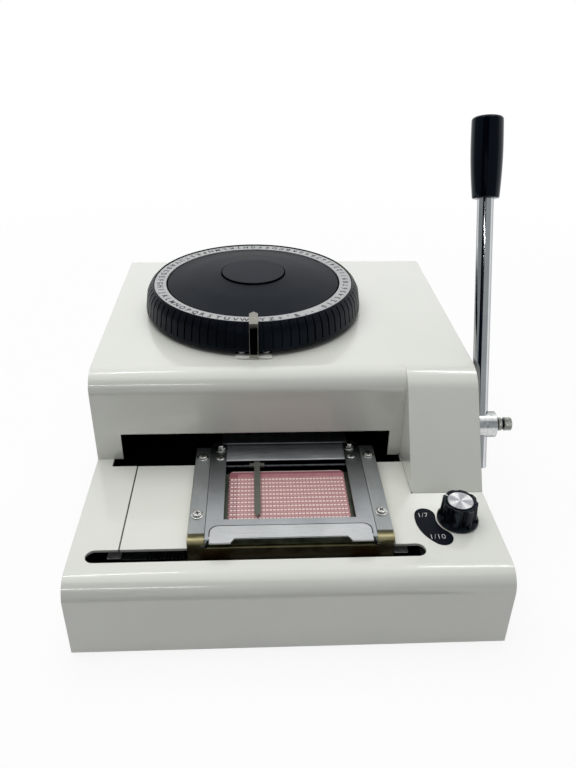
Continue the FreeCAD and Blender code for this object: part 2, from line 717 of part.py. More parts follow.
for side, x in (("left", frame_left_x), ("right", frame_right_x)):
    plate = body(f"frame_{side}")
    view = sketch(plate, "plate", "YZ", x)
    outline(view, (frame_front, s.floor_wall), (frame_rear, s.floor_wall),
            (frame_rear, frame_top), (frame_step + s.frame_bevel, frame_top),
            (frame_step, frame_top - s.frame_bevel), (frame_step, deck_under),
            (frame_front, deck_under))
    circle(view, (s.front_rail_y, front_rail_z), s.front_rail_radius)
    circle(view, (rear_rail_y, rear_rail_z), s.rear_rail_radius)
    circle(view, (punch_y, upper_cam_z), s.cam_shaft_radius + s.fit)
    circle(view, (punch_y, lower_cam_z), s.cam_shaft_radius + s.fit)
    pad(plate, "plate", view, s.frame_wall)
    node(f"frame_{side}", plate)

lever_bracket = body("lever_bracket")
bracket_right = bearing_x + bearing_span
bracket_end = bracket_right + s.bearing_wall
cheek = sketch(lever_bracket, "cheeks", "XZ", bearing_front)
outline(cheek, (bearing_x, s.floor_wall), (bracket_end, s.floor_wall),
        (bracket_end, bearing_top), (bracket_right, bearing_top),
        (bracket_right, s.floor_wall + s.bearing_wall),
        (bearing_x + s.bearing_wall, s.floor_wall + s.bearing_wall),
        (bearing_x + s.bearing_wall, bearing_top), (bearing_x, bearing_top))
pad(lever_bracket, "cheeks", cheek, s.bearing_depth)
bore(lever_bracket, "bearings", "YZ", bearing_x, bearing_span + s.bearing_wall,
     (lever_y, lever_z), s.shaft_radius + s.fit)
node("lever_bracket", lever_bracket)

spindle_foot = (mechanism_x, spindle_y)
bridges = {
    "top_bridge": (frame_left_x, frame_right_outer, s.bridge_half_depth, frame_top,
                   s.bridge_wall),
    "lower_bridge": (frame_left_inner, frame_right_x, low_bridge_half, low_bridge_z,
                     s.frame_wall),
}
for name, (left, right, reach, level, wall) in bridges.items():
    bridge = body(name)
    view = sketch(bridge, "bar", "XY", level)
    rectangle(view, (left, spindle_y - reach), (right, spindle_y + reach))
    circle(view, spindle_foot, bush_radius)
    pad(bridge, "bar", view, wall)
    node(name, bridge)

low_bush_z = low_bridge_z + s.frame_wall
bush_parts = []
for name, sleeve_z, sleeve, flange_z in (
        ("top", frame_top, s.bridge_wall, frame_top - s.bridge_wall),
        ("low", low_bridge_z, s.frame_wall, low_bush_z)):
    sleeve_item = rod(f"{name}_sleeve", "z", bush_radius, (*spindle_foot, sleeve_z), sleeve)
    flange_item = rod(f"{name}_flange", "z", bush_flange, (*spindle_foot, flange_z),
                      s.bridge_wall)
    blank = fuse(f"{name}_bush_blank", sleeve_item, flange_item)
    opening = rod(f"{name}_bush_bore", "z", s.spindle_radius + s.fit,
                  (*spindle_foot, s.floor_wall), roof)
    bush_parts.append(cut(f"{name}_bush", blank, opening))
node("spindle_bushes", group("spindle_bushes", *bush_parts))

for name, level in (("upper_guide_bar", upper_guide_low), ("lower_guide_bar", lower_guide_low)):
    bar = body(name)
    view = sketch(bar, "bar", "XY", level)
    rectangle(view, (frame_left_inner, punch_y - s.guide_half_depth),
              (frame_right_x, punch_y + s.guide_half_depth))
    circle(view, (mechanism_x, punch_y), s.stem_radius + s.fit)
    pad(bar, "bar", view, s.guide_height)
    node(name, bar)

rail_length = frame_right_outer - frame_left_x
node("front_rail", rod("front_rail", "x", s.front_rail_radius,
                       (frame_left_x, s.front_rail_y, front_rail_z), rail_length))
node("rear_rail", rod("rear_rail", "x", s.rear_rail_radius,
                      (frame_left_x, rear_rail_y, rear_rail_z), rail_length))

stands = []
for side, x in (("left", post_left), ("right", post_right)):
    post = box(f"post_{side}", (x, post_front, s.floor_wall),
               (x + s.post_width, rack_rear, post_top))
    foot = box(f"post_foot_{side}", (x, post_front, s.floor_wall),
               (x + s.post_width, post_front + s.post_foot_depth,
                s.floor_wall + s.bridge_wall))
    stands.append(fuse(f"stand_{side}", post, foot))
node("rack_brackets", group("rack_brackets", *stands))

rack_start = post_left + s.post_width
rack_low = rack_top - s.rack_height
spacing_rack = body("spacing_rack")
slab(spacing_rack, "bar", "XY", rack_low, s.rack_height, (rack_start, rack_front),
     (post_right, rack_rear))
tooth_x = (rack_start + post_right - (s.tooth_count - 1) * s.tooth_pitch) / 2
tooth = sketch(spacing_rack, "tooth", "XZ", rack_front)
outline(tooth, (tooth_x, rack_top - s.tooth_depth), (tooth_x + s.tooth_width / 2, rack_top),
        (tooth_x - s.tooth_width / 2, rack_top))
gap_cut = pocket(spacing_rack, "tooth", tooth, s.rack_depth)
teeth = spacing_rack.newObject("PartDesign::LinearPattern", "spacing_rack_teeth")
teeth.Originals = [gap_cut]
teeth.Direction = (origin_feature(spacing_rack, "X_Axis"), [""])
bind(teeth, Length=(s.tooth_count - 1) * s.tooth_pitch, Occurrences=s.tooth_count)
spacing_rack.Tip = teeth
node("spacing_rack", spacing_rack)

knob_foot = (knob_x, s.knob_y, 0)
selector_label = body("selector_label")
label_view = sketch(selector_label, "plate", "XY", deck)


def label_point(radius, angle):
    return (radius * cosine(angle), radius * sine(angle))


outline(label_view,
        (*label_point(label_outer, s.label_start), (0, 0), 1),
        (*label_point(label_outer, s.label_end), label_point(label_radius, s.label_end), 1),
        (*label_point(label_inner, s.label_end), (0, 0), -1),
        (*label_point(label_inner, s.label_start), label_point(label_radius, s.label_start), 1))
pad(selector_label, "plate", label_view, s.label_wall)
node("selector_label", selector_label, knob_foot)

# Dial pointer on the roof, and the detent beside the wheel

pointer_left = mechanism_x - s.finger_width / 2
pointer_right = mechanism_x + s.finger_width / 2
pointer_foot_rear = finger_front + s.finger_foot_depth
dial_pointer = body("dial_pointer")
slab(dial_pointer, "foot", "XY", roof, s.finger_wall,
     (mechanism_x - s.finger_foot_half, finger_front),
     (mechanism_x + s.finger_foot_half, pointer_foot_rear))
slab(dial_pointer, "strip", "XY", roof, finger_top - roof, (pointer_left, finger_front),
     (pointer_right, finger_front + s.finger_wall))
finger = sketch(dial_pointer, "finger", "XY", finger_top - s.finger_wall)
outline(finger, (pointer_left, finger_front), (pointer_right, finger_front),
        (pointer_right, finger_tip - s.finger_width / 2), (mechanism_x, finger_tip),
        (pointer_left, finger_tip - s.finger_width / 2))
pad(dial_pointer, "finger", finger, s.finger_wall)
node("dial_pointer", dial_pointer)

screw_y = finger_front + s.finger_screw_set
node("pointer_screws", fuse("pointer_screws", *[
    rod(f"pointer_screw_{index}", "z", s.pan_radius, (x, screw_y, roof + s.finger_wall),
        s.pan_height)
    for index, x in enumerate((mechanism_x - s.finger_screw_half,
                               mechanism_x + s.finger_screw_half))]))

roller_x = mechanism_x - wheel_radius - s.gap - s.detent_radius
detent_block = box("detent_block",
                   (frame_left_inner, spindle_y - s.detent_half_depth, upper_wheel_low),
                   (roller_x, spindle_y + s.detent_half_depth, upper_wheel_low + s.wheel_rim))
detent_roller = rod("detent_roller", "z", s.detent_radius,
                    (roller_x, spindle_y, upper_wheel_low), s.wheel_rim)
node("dial_detent", fuse("dial_detent", detent_block, detent_roller))

# Grid pointer: a blade over the card, carried by a strip on the lower guide bar

guide_front = punch_y - s.guide_half_depth
strip_front = guide_front - s.finger_wall
blade_top = blade_low + s.blade_wall
blade_x = mechanism_x + s.blade_set
blade_left = blade_x - s.blade_half_width
blade_right = blade_x + s.blade_half_width
grid_pointer = body("grid_pointer")
blade = sketch(grid_pointer, "blade", "XY", blade_low)
wing_front = rod_y - s.wing_half_depth
wing_rear = rod_y + s.wing_half_depth
outline(blade, (blade_x, blade_tip), (blade_right, blade_shoulder),
        (blade_right, wing_front), (blade_x + s.wing_half_width, wing_front),
        (blade_x + s.wing_half_width, wing_rear), (blade_right, wing_rear),
        (blade_right, guide_front), (blade_left, guide_front), (blade_left, wing_rear),
        (blade_x - s.wing_half_width, wing_rear),
        (blade_x - s.wing_half_width, wing_front),
        (blade_left, wing_front), (blade_left, blade_shoulder))
pad(grid_pointer, "blade", blade, s.blade_wall)
slab(grid_pointer, "stem", "XY", lower_guide_low, blade_top - lower_guide_low,
     (blade_left, strip_front), (blade_right, guide_front))
slab(grid_pointer, "saddle", "XY", cross_z, blade_low - cross_z,
     (blade_x - s.wing_half_width, wing_front), (blade_x + s.wing_half_width, wing_rear))
bore(grid_pointer, "groove", "YZ", blade_x - s.wing_half_width, 2 * s.wing_half_width,
     (rod_y, cross_z), s.cross_rod_radius + s.fit)
node("grid_pointer", grid_pointer)

# Dial: everything that turns with the spindle, drawn about the spindle axis

spindle_at = (mechanism_x, spindle_y, 0)
bore_radius = s.spindle_radius + s.fit
dial_shelf = dial_face - s.ring_wall
web_top = dial_shelf - s.dial_step
web_low = web_top - s.dial_web
dial_inner = s.dial_radius - s.rim_wall
dial_rim = body("dial_rim")
turned(dial_rim, "wheel",
       (bore_radius, web_low - s.dial_hub_height), (wheel_hub, web_low - s.dial_hub_height),
       (wheel_hub, web_low), (dial_inner, web_low), (dial_inner, dial_base),
       (s.dial_radius, dial_base), (s.dial_radius, dial_base + s.rim_lip),
       (s.dial_radius - s.rim_draft, dial_shelf - s.shoulder_drop),
       (s.dial_radius - s.shoulder_depth, dial_shelf - s.ring_wall),
       (s.dial_radius - s.crown_depth, dial_shelf + s.crown_height),
       (ring_outer + s.gap, dial_shelf + s.crown_height), (ring_outer + s.gap, dial_shelf),
       (ring_inner - s.gap, dial_shelf), (ring_inner - s.gap, web_top),
       (bore_radius, web_top))
rib = sketch(dial_rim, "rib", "XZ")
rib_low = dial_base + s.rim_lip
outline(rib, (s.dial_radius - s.rib_depth, rib_low), (s.dial_radius + s.rib_depth, rib_low),
        (s.dial_radius + s.rib_depth, dial_face),
        (s.dial_radius - s.crown_depth, dial_face),
        (s.dial_radius - s.shoulder_depth - s.rib_depth, dial_shelf - s.ring_wall),
        (s.dial_radius - s.rim_draft - s.rib_depth, dial_shelf - s.shoulder_drop))
doc.recompute()
solid_before = dial_rim.Shape.Volume
rib_cut = dial_rim.newObject("PartDesign::Pocket", "dial_rim_rib")
rib_cut.Profile = rib
rib_cut.Midplane = True
bind(rib_cut, Length=s.rib_gap)
around(dial_rim, rib_cut, s.rib_count)
node("dial_rim", dial_rim, spindle_at)

# The disc rises in two cones from its rim to the seat of the cap.
disc_edge = ring_inner - 2 * s.gap
disc_low = dial_face - s.disc_step
cap_low = cap_top - s.cap_wall
seat_radius = s.cap_radius + s.gap
disc_high = cap_low + s.cap_lip
dome_corner = ((disc_edge + seat_radius) / 2, (disc_low + disc_high) / 2 + s.dome_bulge)
dial_disc = body("dial_disc")
turned(dial_disc, "dome",
       (disc_edge - s.disc_wall, web_top), (disc_edge, web_top),
       (disc_edge, disc_low), dome_corner, (seat_radius, disc_high), (seat_radius, cap_low),
       (wheel_hub, cap_low),
       (wheel_hub, cap_low - s.disc_wall),
       (disc_edge - s.disc_wall, disc_low - s.disc_wall))
node("dial_disc", dial_disc, spindle_at)

scale_ring = body("scale_ring")
turned(scale_ring, "ring", (ring_inner, dial_shelf), (ring_outer, dial_shelf),
       (ring_outer, dial_face), (ring_inner, dial_face))
node("scale_ring", scale_ring, spindle_at)

dial_cap = body("dial_cap")
turned(dial_cap, "button", (0, cap_low), (s.cap_radius, cap_low),
       (s.cap_radius, cap_top - 2 * s.gap), (s.cap_radius - 2 * s.gap, cap_top - s.gap),
       (0, cap_top))
node("dial_cap", dial_cap, spindle_at)

spindle_low = low_bridge_z - s.frame_wall
spindle_high = web_top + s.spindle_nose
low_collar = low_bush_z + s.bridge_wall + s.gap
spindle = body("spindle")
turned(spindle, "shaft", (0, spindle_low), (s.spindle_radius, spindle_low),
       (s.spindle_radius, low_collar), (collar_radius, low_collar),
       (collar_radius, low_collar + s.bridge_wall),
       (s.spindle_radius, low_collar + s.bridge_wall),
       (s.spindle_radius, lower_wheel_top), (collar_radius, lower_wheel_top),
       (collar_radius, upper_wheel_low), (s.spindle_radius, upper_wheel_low),
       (s.spindle_radius, spindle_high), (0, spindle_high))
node("spindle", spindle, spindle_at)

web_inset = (s.wheel_rim - s.wheel_web) / 2
for name, level, hub_low, hub_high in (
        ("upper", upper_wheel_low, as_size(0), s.hub_rise),
        ("lower", lower_wheel_top - s.wheel_rim, s.hub_rise, as_size(0))):
    level_top = level + s.wheel_rim
    wheel = body(f"{name}_type_wheel")
    # Outwards along the underside, and back along the top.
    under = [(bore_radius, level - hub_low), (wheel_hub, level - hub_low),
             (wheel_hub, level + web_inset), (rim_inner, level + web_inset),
             (rim_inner, level), (wheel_radius, level)]
    over = [(wheel_radius, level_top), (rim_inner, level_top),
            (rim_inner, level_top - web_inset), (wheel_hub, level_top - web_inset),
            (wheel_hub, level_top + hub_high), (bore_radius, level_top + hub_high)]
    turned(wheel, "blank", *under, *over)
    slot_view = sketch(wheel, "type_slot", "XY", level)
    slot_half = s.type_width / 2 + s.type_clear
    rectangle(slot_view, (type_root, -slot_half), (wheel_radius + s.type_proud, slot_half))
    type_slot = pocket(wheel, "type_slot", slot_view, s.wheel_rim)
    around(wheel, type_slot, s.type_count)
    node(f"{name}_type_wheel", wheel, spindle_at)
    types = body(f"{name}_types")
    types.AllowCompound = True
    types_low = level if name == "upper" else level - s.type_proud
    one_type = slab(types, "type", "XY", types_low, s.wheel_rim + s.type_proud,
                    (type_root, -(s.type_width / 2)),
                    (wheel_radius - s.gap, s.type_width / 2))
    around(types, one_type, s.type_count)
    node(f"{name}_types", types, spindle_at)

# Lever: the crank shaft, and outside the wall the hub, rod, grip and thumb screw

lever_at = (0, lever_y, lever_z)
crank_end = (s.crank_throw, as_size(0))
pin_length = 2 * s.link_pitch
main_shaft = body("main_shaft")
web_view = sketch(main_shaft, "web", "YZ", crank_x)
obround(web_view, (as_size(0), as_size(0)), crank_end, s.eye_radius)
pad(main_shaft, "web", web_view, s.crank_wall)
disc(main_shaft, "journal", "YZ", crank_x, hub_start + s.hub_socket_depth - crank_x, (0, 0),
     s.shaft_radius)
spacer_x = crank_x + s.crank_wall
disc(main_shaft, "spacer", "YZ", spacer_x, bearing_x - s.gap - spacer_x, (0, 0),
     spacer_radius)
disc(main_shaft, "pin", "YZ", crank_x - pin_length, pin_length, crank_end, s.pin_radius)
node("main_shaft", main_shaft, lever_at, crank_rest)

stud_x = rod_x + s.rod_radius + s.gap
hub_blank = rod("hub_blank", "x", hub_radius, (hub_start, 0, 0), s.hub_length)
hub_tools = [
    rod("hub_socket", "x", s.shaft_radius + s.fit, (hub_start, 0, 0),
        s.hub_socket_depth + s.fit),
    rod("hub_cross", "z", s.rod_radius + s.fit, (rod_x, 0, -s.rod_tail_length),
        2 * s.rod_tail_length),
    rod("hub_stud", "x", s.stud_radius, (stud_x, 0, 0), s.hub_length),
]
node("lever_hub", cut("lever_hub", hub_blank, *hub_tools), lever_at, -s.lever_lean)

rod_at = (rod_x, lever_y, lever_z)
rod_top = s.rod_length - s.rod_tail_length
lever_rod = body("lever_rod")
turned(lever_rod, "bar", (0, -s.rod_tail_length),
       (s.rod_radius - s.rod_bevel, -s.rod_tail_length),
       (s.rod_radius, s.rod_bevel - s.rod_tail_length), (s.rod_radius, rod_top), (0, rod_top))
node("lever_rod", lever_rod, rod_at, -s.lever_lean)

grip_end = rod_top + s.grip_cover_height
grip_start = grip_end - s.grip_length
lever_grip = body("lever_grip")
crown = []
for step in range(CROWN_STEPS + 1):
    angle = QUARTER_TURN * step / CROWN_STEPS
    crown.append((s.grip_top_radius - s.grip_crown * (1 - cosine(angle)),
                  grip_end - s.grip_crown * (1 - sine(angle))))
turned(lever_grip, "grip", (s.rod_radius + s.fit, grip_start),
       (s.grip_low_radius - s.grip_bevel, grip_start),
       (s.grip_low_radius, grip_start + s.grip_bevel),
       (s.grip_waist_radius, grip_start + s.grip_waist_height), *crown,
       (0, grip_end), (0, rod_top + s.fit), (s.rod_radius + s.fit, rod_top + s.fit))
node("lever_grip", lever_grip, rod_at, -s.lever_lean)

thumb_screw = body("thumb_screw")
disc(thumb_screw, "stud", "YZ", stud_x, thumb_start - stud_x, (0, 0), s.stud_radius)
disc(thumb_screw, "inner_band", "YZ", thumb_start, s.band_length, (0, 0),
     s.knurl_radius)
disc(thumb_screw, "waist", "YZ", thumb_start + s.band_length,
     s.knurl_length - 2 * s.band_length, (0, 0), s.knurl_radius - s.waist_depth)
disc(thumb_screw, "outer_band", "YZ", thumb_start + s.knurl_length - s.band_length,
     s.band_length, (0, 0), s.knurl_radius)
node("thumb_screw", thumb_screw, lever_at, -s.lever_lean)

# Links and cam shafts. Both cranks stay parallel to the crank of the main shaft.

pin_y = lever_y + s.crank_throw * cosine(crank_rest)
pin_z = lever_z + s.crank_throw * sine(crank_rest)
for name, cam_z, plane_drop, cam_middle in (("upper", upper_cam_z, as_size(0), HALF_TURN),
                                            ("lower", lower_cam_z, s.link_pitch, 0)):
    run = punch_y - lever_y
    rise = cam_z - lever_z
    reach = root(run * run + rise * rise)
    link_x = crank_x - s.link_gap - s.link_wall - plane_drop
    link = body(f"{name}_link")
    view = sketch(link, "bar", "YZ", link_x)
    obround(view, (as_size(0), as_size(0)), (reach, as_size(0)), s.eye_radius)
    circle(view, (0, 0), s.pin_radius + s.fit)
    circle(view, (reach, 0), s.pin_radius + s.gap)
    pad(link, "bar", view, s.link_wall)
    node(f"{name}_link", link, (0, pin_y, pin_z), bearing_angle(rise, run))

    cam_web_x = link_x - s.cam_web_gap - s.cam_web
    cam_turn = cam_middle - s.crank_middle
    cam_shaft = body(f"{name}_cam_shaft")
    disc(cam_shaft, "shaft", "YZ", frame_left_x, cam_web_x - frame_left_x, (0, 0),
         s.cam_shaft_radius)
    disc(cam_shaft, "cam", "YZ", mechanism_x - s.cam_width / 2, s.cam_width,
         (eccentric * cosine(cam_turn), eccentric * sine(cam_turn)), s.cam_radius)
    web_view = sketch(cam_shaft, "web", "YZ", cam_web_x)
    obround(web_view, (as_size(0), as_size(0)), crank_end, s.eye_radius)
    pad(cam_shaft, "web", web_view, s.cam_web)
    disc(cam_shaft, "pin", "YZ", cam_web_x + s.cam_web,
         s.cam_web_gap + s.link_wall + s.link_gap, crank_end, s.pin_radius)
    node(f"{name}_cam_shaft", cam_shaft, (0, punch_y, cam_z), crank_rest)

punch_at = (mechanism_x, punch_y, 0)
upper_plunger = body("upper_plunger")
turned(upper_plunger, "stem", (0, upper_stem_low), (s.stem_radius, upper_stem_low),
       (s.stem_radius, upper_head_low), (head_radius, upper_head_low),
       (head_radius, upper_head_top), (0, upper_head_top))
node("upper_plunger", upper_plunger, punch_at)
lower_plunger = body("lower_plunger")
turned(lower_plunger, "stem", (0, lower_head_low), (head_radius, lower_head_low),
       (head_radius, lower_head_top), (s.stem_radius, lower_head_top),
       (s.stem_radius, lower_stem_top), (0, lower_stem_top))
node("lower_plunger", lower_plunger, punch_at)

# Carriage

groove_low = tray_low - s.gap
groove_high = tray_top + s.gap
centre = carriage_x


def right(offset):
    return centre + offset


def left(offset):
    return centre - offset


carriage_bracket = body("carriage_bracket")
section = sketch(carriage_bracket, "section", "XZ", flange_front)
outline(section, (left(rail_outer), base_low), (right(rail_outer), base_low),
        (right(rail_outer), rail_top), (right(rail_inner), rail_top),
        (right(rail_inner), groove_high), (right(groove_x), groove_high),
        (right(groove_x), groove_low), (right(rail_inner), groove_low),
        (right(rail_inner), base_top), (left(rail_inner), base_top),
        (left(rail_inner), groove_low), (left(groove_x), groove_low),
        (left(groove_x), groove_high), (left(rail_inner), groove_high),
        (left(rail_inner), rail_top), (left(rail_outer), rail_top))
pad(carriage_bracket, "section", section, carriage_rear - flange_front)
slab(carriage_bracket, "flange", "XZ", flange_front, s.flange_wall,
     (left(rail_outer), flange_low), (right(rail_outer), base_low))
bend_middle = (flange_front + s.bend_radius, rail_top - s.bend_radius)
ear_bend = sketch(carriage_bracket, "ear_bend", "YZ", left(rail_outer))
outline(ear_bend, (flange_front, bend_middle[1]), (flange_front, rail_top),
        (bend_middle[0], rail_top, bend_middle, 1))
pocket(carriage_bracket, "ear_bend", ear_bend, 2 * rail_outer)
bore(carriage_bracket, "cross_holes", "YZ", left(groove_x), 2 * groove_x,
     (rod_y, cross_z), s.cross_rod_radius)
node("carriage_bracket", carriage_bracket)

strip_depth = carriage_rear - strip_start
strips = [box(f"strip_{side}", (x, strip_start, rail_top),
              (x + strip_outer - rail_inner, strip_start + strip_depth, strip_top))
          for side, x in (("left", left(strip_outer)), ("right", right(rail_inner)))]
node("side_strips", fuse("side_strips", *strips))

strip_screws = []
for index, (x, y) in enumerate(((x, y) for x in (left(strip_screw_x), right(strip_screw_x))
                                for y in (near_screw_y, far_screw_y))):
    washer = rod(f"strip_washer_{index}", "z", s.washer_radius, (x, y, strip_top),
                 s.washer_wall)
    head = rod(f"strip_head_{index}", "z", s.pan_radius, (x, y, strip_top + s.washer_wall),
               s.pan_height)
    strip_screws.append(fuse(f"strip_screw_{index}", washer, head))
node("strip_screws", group("strip_screws", *strip_screws))

front_sliders = body("front_sliders")
front_sliders.AllowCompound = True
slider_view = sketch(front_sliders, "blocks", "YZ", left(slider_outer))
outline(slider_view, (slider_front, front_rail_z - s.slider_half_height),
        (flange_front, front_rail_z - s.slider_half_height),
        (flange_front, front_rail_z + s.slider_half_height),
        (slider_front, front_rail_z + s.slider_half_height))
circle(slider_view, (s.front_rail_y, front_rail_z), s.front_rail_radius + s.fit)
pad(front_sliders, "blocks", slider_view, 2 * slider_outer)
notch(front_sliders, "middle", "YZ", left(slider_inner), 2 * slider_inner,
      (slider_front, front_rail_z - s.slider_half_height),
      (flange_front, front_rail_z + s.slider_half_height))
node("front_sliders", front_sliders)

rear_slider = body("rear_slider")
rear_view = sketch(rear_slider, "bar", "YZ", left(rear_slider_half))
rectangle(rear_view, (rear_slider_front, rear_rail_z - s.rear_slider_below),
          (carriage_rear, base_low))
circle(rear_view, (rear_rail_y, rear_rail_z), s.rear_rail_radius + s.fit)
pad(rear_slider, "bar", rear_view, 2 * rear_slider_half)
node("rear_slider", rear_slider)

node("pointer_rod", rod("pointer_rod", "x", s.cross_rod_radius,
                        (left(groove_x), rod_y, cross_z), 2 * groove_x))

carriage_pawl = body("carriage_pawl")
pawl_view = sketch(carriage_pawl, "arm", "XZ", flange_rear)
pawl_low = rack_top + s.pawl_gap
pawl_tip = rack_top + s.gap
outline(pawl_view, (centre - s.pawl_half, pawl_low), (centre - s.tooth_width / 2, pawl_low),
        (centre, pawl_tip), (centre + s.tooth_width / 2, pawl_low),
        (centre + s.pawl_half, pawl_low), (centre + s.pawl_half, pawl_low + s.pawl_wall),
        (centre - s.pawl_half, pawl_low + s.pawl_wall))
pad(carriage_pawl, "arm", pawl_view, rack_rear - flange_rear)
node("carriage_pawl", carriage_pawl)

# Card frame

lip_space = lip_half + 2 * s.gap
clamp_frame = body("clamp_frame")
plate_view = sketch(clamp_frame, "plate", "XY", plate_low)
bay_left_bend = (left(lip_space - s.lip_round), lip_rear - s.lip_round)
bay_right_bend = (right(lip_space - s.lip_round), lip_rear - s.lip_round)
outline(plate_view, (left(s.frame_half), frame_nose), (left(lip_space), frame_nose),
        (left(lip_space), bay_left_bend[1], bay_left_bend, -1), (bay_left_bend[0], lip_rear),
        (bay_right_bend[0], lip_rear, bay_right_bend, -1),
        (right(lip_space), bay_right_bend[1]),
        (right(lip_space), frame_nose), (right(s.frame_half), frame_nose),
        (right(s.frame_half), frame_tail), (right(window_half), frame_tail),
        (right(window_half), window_front), (left(window_half), window_front),
        (left(window_half), frame_tail), (left(s.frame_half), frame_tail))
pad(clamp_frame, "plate", plate_view, s.sheet_wall)
webs = sketch(clamp_frame, "webs", "XZ", frame_nose)
outline(webs, (right(web_inner), tray_low), (right(foot_out), tray_low),
        (right(foot_out), tray_top), (right(s.frame_half), tray_top),
        (right(s.frame_half), strip_top), (right(web_inner), strip_top))
outline(webs, (left(web_inner), tray_low), (left(web_inner), strip_top),
        (left(s.frame_half), strip_top), (left(s.frame_half), tray_top),
        (left(foot_out), tray_top), (left(foot_out), tray_low))
pad(clamp_frame, "webs", webs, web_rear - frame_nose)
pin_at = (lip_pin_y, plate_low - s.pin_drop)
bore(clamp_frame, "pin_holes", "YZ", left(foot_out), 2 * foot_out, pin_at,
     s.lip_pin_radius + s.fit)
node("clamp_frame", clamp_frame)

bar_half = s.frame_half - s.gap
nose_radius = s.sheet_wall / 2
nose_middle = (bar_front + nose_radius, bar_low + nose_radius)
rear_bar = body("rear_bar")
bar_view = sketch(rear_bar, "bar", "YZ", left(bar_half))
outline(bar_view, (nose_middle[0], bar_low), (jaw_rear, bar_low), (jaw_rear, plate_low),
        (nose_middle[0], plate_low, nose_middle, 1))
pad(rear_bar, "bar", bar_view, 2 * bar_half)
tabs = sketch(rear_bar, "tabs", "XY", bar_low)
for x in (left(arm_screw_x), right(arm_screw_x)):
    rectangle(tabs, (x - s.bar_tab_half, arm_screw_y - s.bar_tab_reach),
              (x + s.bar_tab_half, bar_front + s.sheet_wall))
pad(rear_bar, "tabs", tabs, s.sheet_wall)
node("rear_bar", rear_bar)

jaw_plate = box("jaw_plate", (left(jaw_half), jaw_front, jaw_low),
                (right(jaw_half), jaw_rear, jaw_top))
jaw_posts = [rod(f"jaw_post_{index}", "z", s.jaw_post_radius,
                 (x, jaw_front + s.jaw_post_radius, plate_low), s.jaw_slit)
             for index, x in enumerate((left(jaw_post_x), right(jaw_post_x)))]
node("card_jaw", fuse("card_jaw", jaw_plate, *jaw_posts))

frame_screws = []
for index, x in enumerate((left(arm_screw_x), right(arm_screw_x))):
    pan = rod(f"arm_pan_{index}", "z", s.pan_radius, (x, arm_screw_y, strip_top),
              s.pan_height)
    washer = rod(f"arm_washer_{index}", "z", s.washer_radius, (x, stud_screw_y, strip_top),
                 s.washer_wall)
    nut = rod(f"arm_nut_{index}", "z", s.nut_radius,
              (x, stud_screw_y, strip_top + s.washer_wall), s.nut_height)
    stud = rod(f"arm_stud_{index}", "z", s.stud_thread_radius, (x, stud_screw_y, strip_top),
               s.stud_height)
    frame_screws += [pan, fuse(f"arm_stack_{index}", washer, nut, stud)]
node("frame_screws", group("frame_screws", *frame_screws))

fence_rear = tray_front + s.sheet_wall
tray_plate = box("tray_plate", (left(web_inner), tray_front, tray_low),
                 (right(web_inner), card_rear + s.tray_margin, tray_top))
tray_fence = box("tray_fence", (left(tray_half), tray_front, tray_top),
                 (right(tray_half), fence_rear, fence_top))
node("grid_tray", fuse("grid_tray", tray_plate, tray_fence))

position_card = body("position_card")
card_view = sketch(position_card, "sheet", "XY", tray_top)
card_half = s.card_width / 2
card_left, card_right = left(card_half), right(card_half)
inner_left, inner_right = card_left + s.card_round, card_right - s.card_round
inner_front, inner_rear = card_front + s.card_round, card_rear - s.card_round
outline(card_view,
        (inner_right, card_front, (inner_right, inner_front), 1), (card_right, inner_front),
        (card_right, inner_rear, (inner_right, inner_rear), 1), (inner_right, card_rear),
        (inner_left, card_rear, (inner_left, inner_rear), 1), (card_left, inner_rear),
        (card_left, inner_front, (inner_left, inner_front), 1), (inner_left, card_front))
pad(position_card, "sheet", card_view, s.card_wall)
node("position_card", position_card)

# Clamp lip

lip_low = plate_low - s.gap
lip_top = lip_low + s.lip_wall
bend_left = (left(lip_half - s.lip_round), lip_back - s.lip_round)
bend_right = (right(lip_half - s.lip_round), lip_back - s.lip_round)
clamp_lip = body("clamp_lip")
lip_view = sketch(clamp_lip, "plate", "XY", lip_low)
outline(lip_view, (left(lip_half), lip_front), (left(lip_notch_half), lip_front),
        (left(lip_notch_half - s.lip_notch_run), lip_front + s.lip_notch_depth),
        (right(lip_notch_half - s.lip_notch_run), lip_front + s.lip_notch_depth),
        (right(lip_notch_half), lip_front), (right(lip_half), lip_front),
        (right(lip_half), bend_right[1], bend_right, 1),
        (bend_right[0], lip_back), (bend_left[0], lip_back, bend_left, 1),
        (left(lip_half), bend_left[1]))
pad(clamp_lip, "plate", lip_view, s.lip_wall)
lug_low = lip_top - s.lug_height
lugs = sketch(clamp_lip, "lugs", "XY", lug_low)
for inner, outer in ((right(lug_inner), right(lip_half)), (left(lip_half), left(lug_inner))):
    rectangle(lugs, (inner, lip_pin_y - s.lug_half_depth), (outer, lip_pin_y + s.lug_half_depth))
pad(clamp_lip, "lugs", lugs, s.lug_height)
bore(clamp_lip, "pin_holes", "YZ", left(lip_half), 2 * lip_half, pin_at,
     s.lip_pin_radius)
node("clamp_lip", clamp_lip)

pin_span = s.frame_half - lug_inner + s.gap
node("lip_pins", fuse("lip_pins", *[
    rod(f"lip_pin_{index}", "x", s.lip_pin_radius, (x, *pin_at), pin_span)
    for index, x in enumerate((left(s.frame_half), right(s.frame_half) - pin_span))]))

# Spacing knob

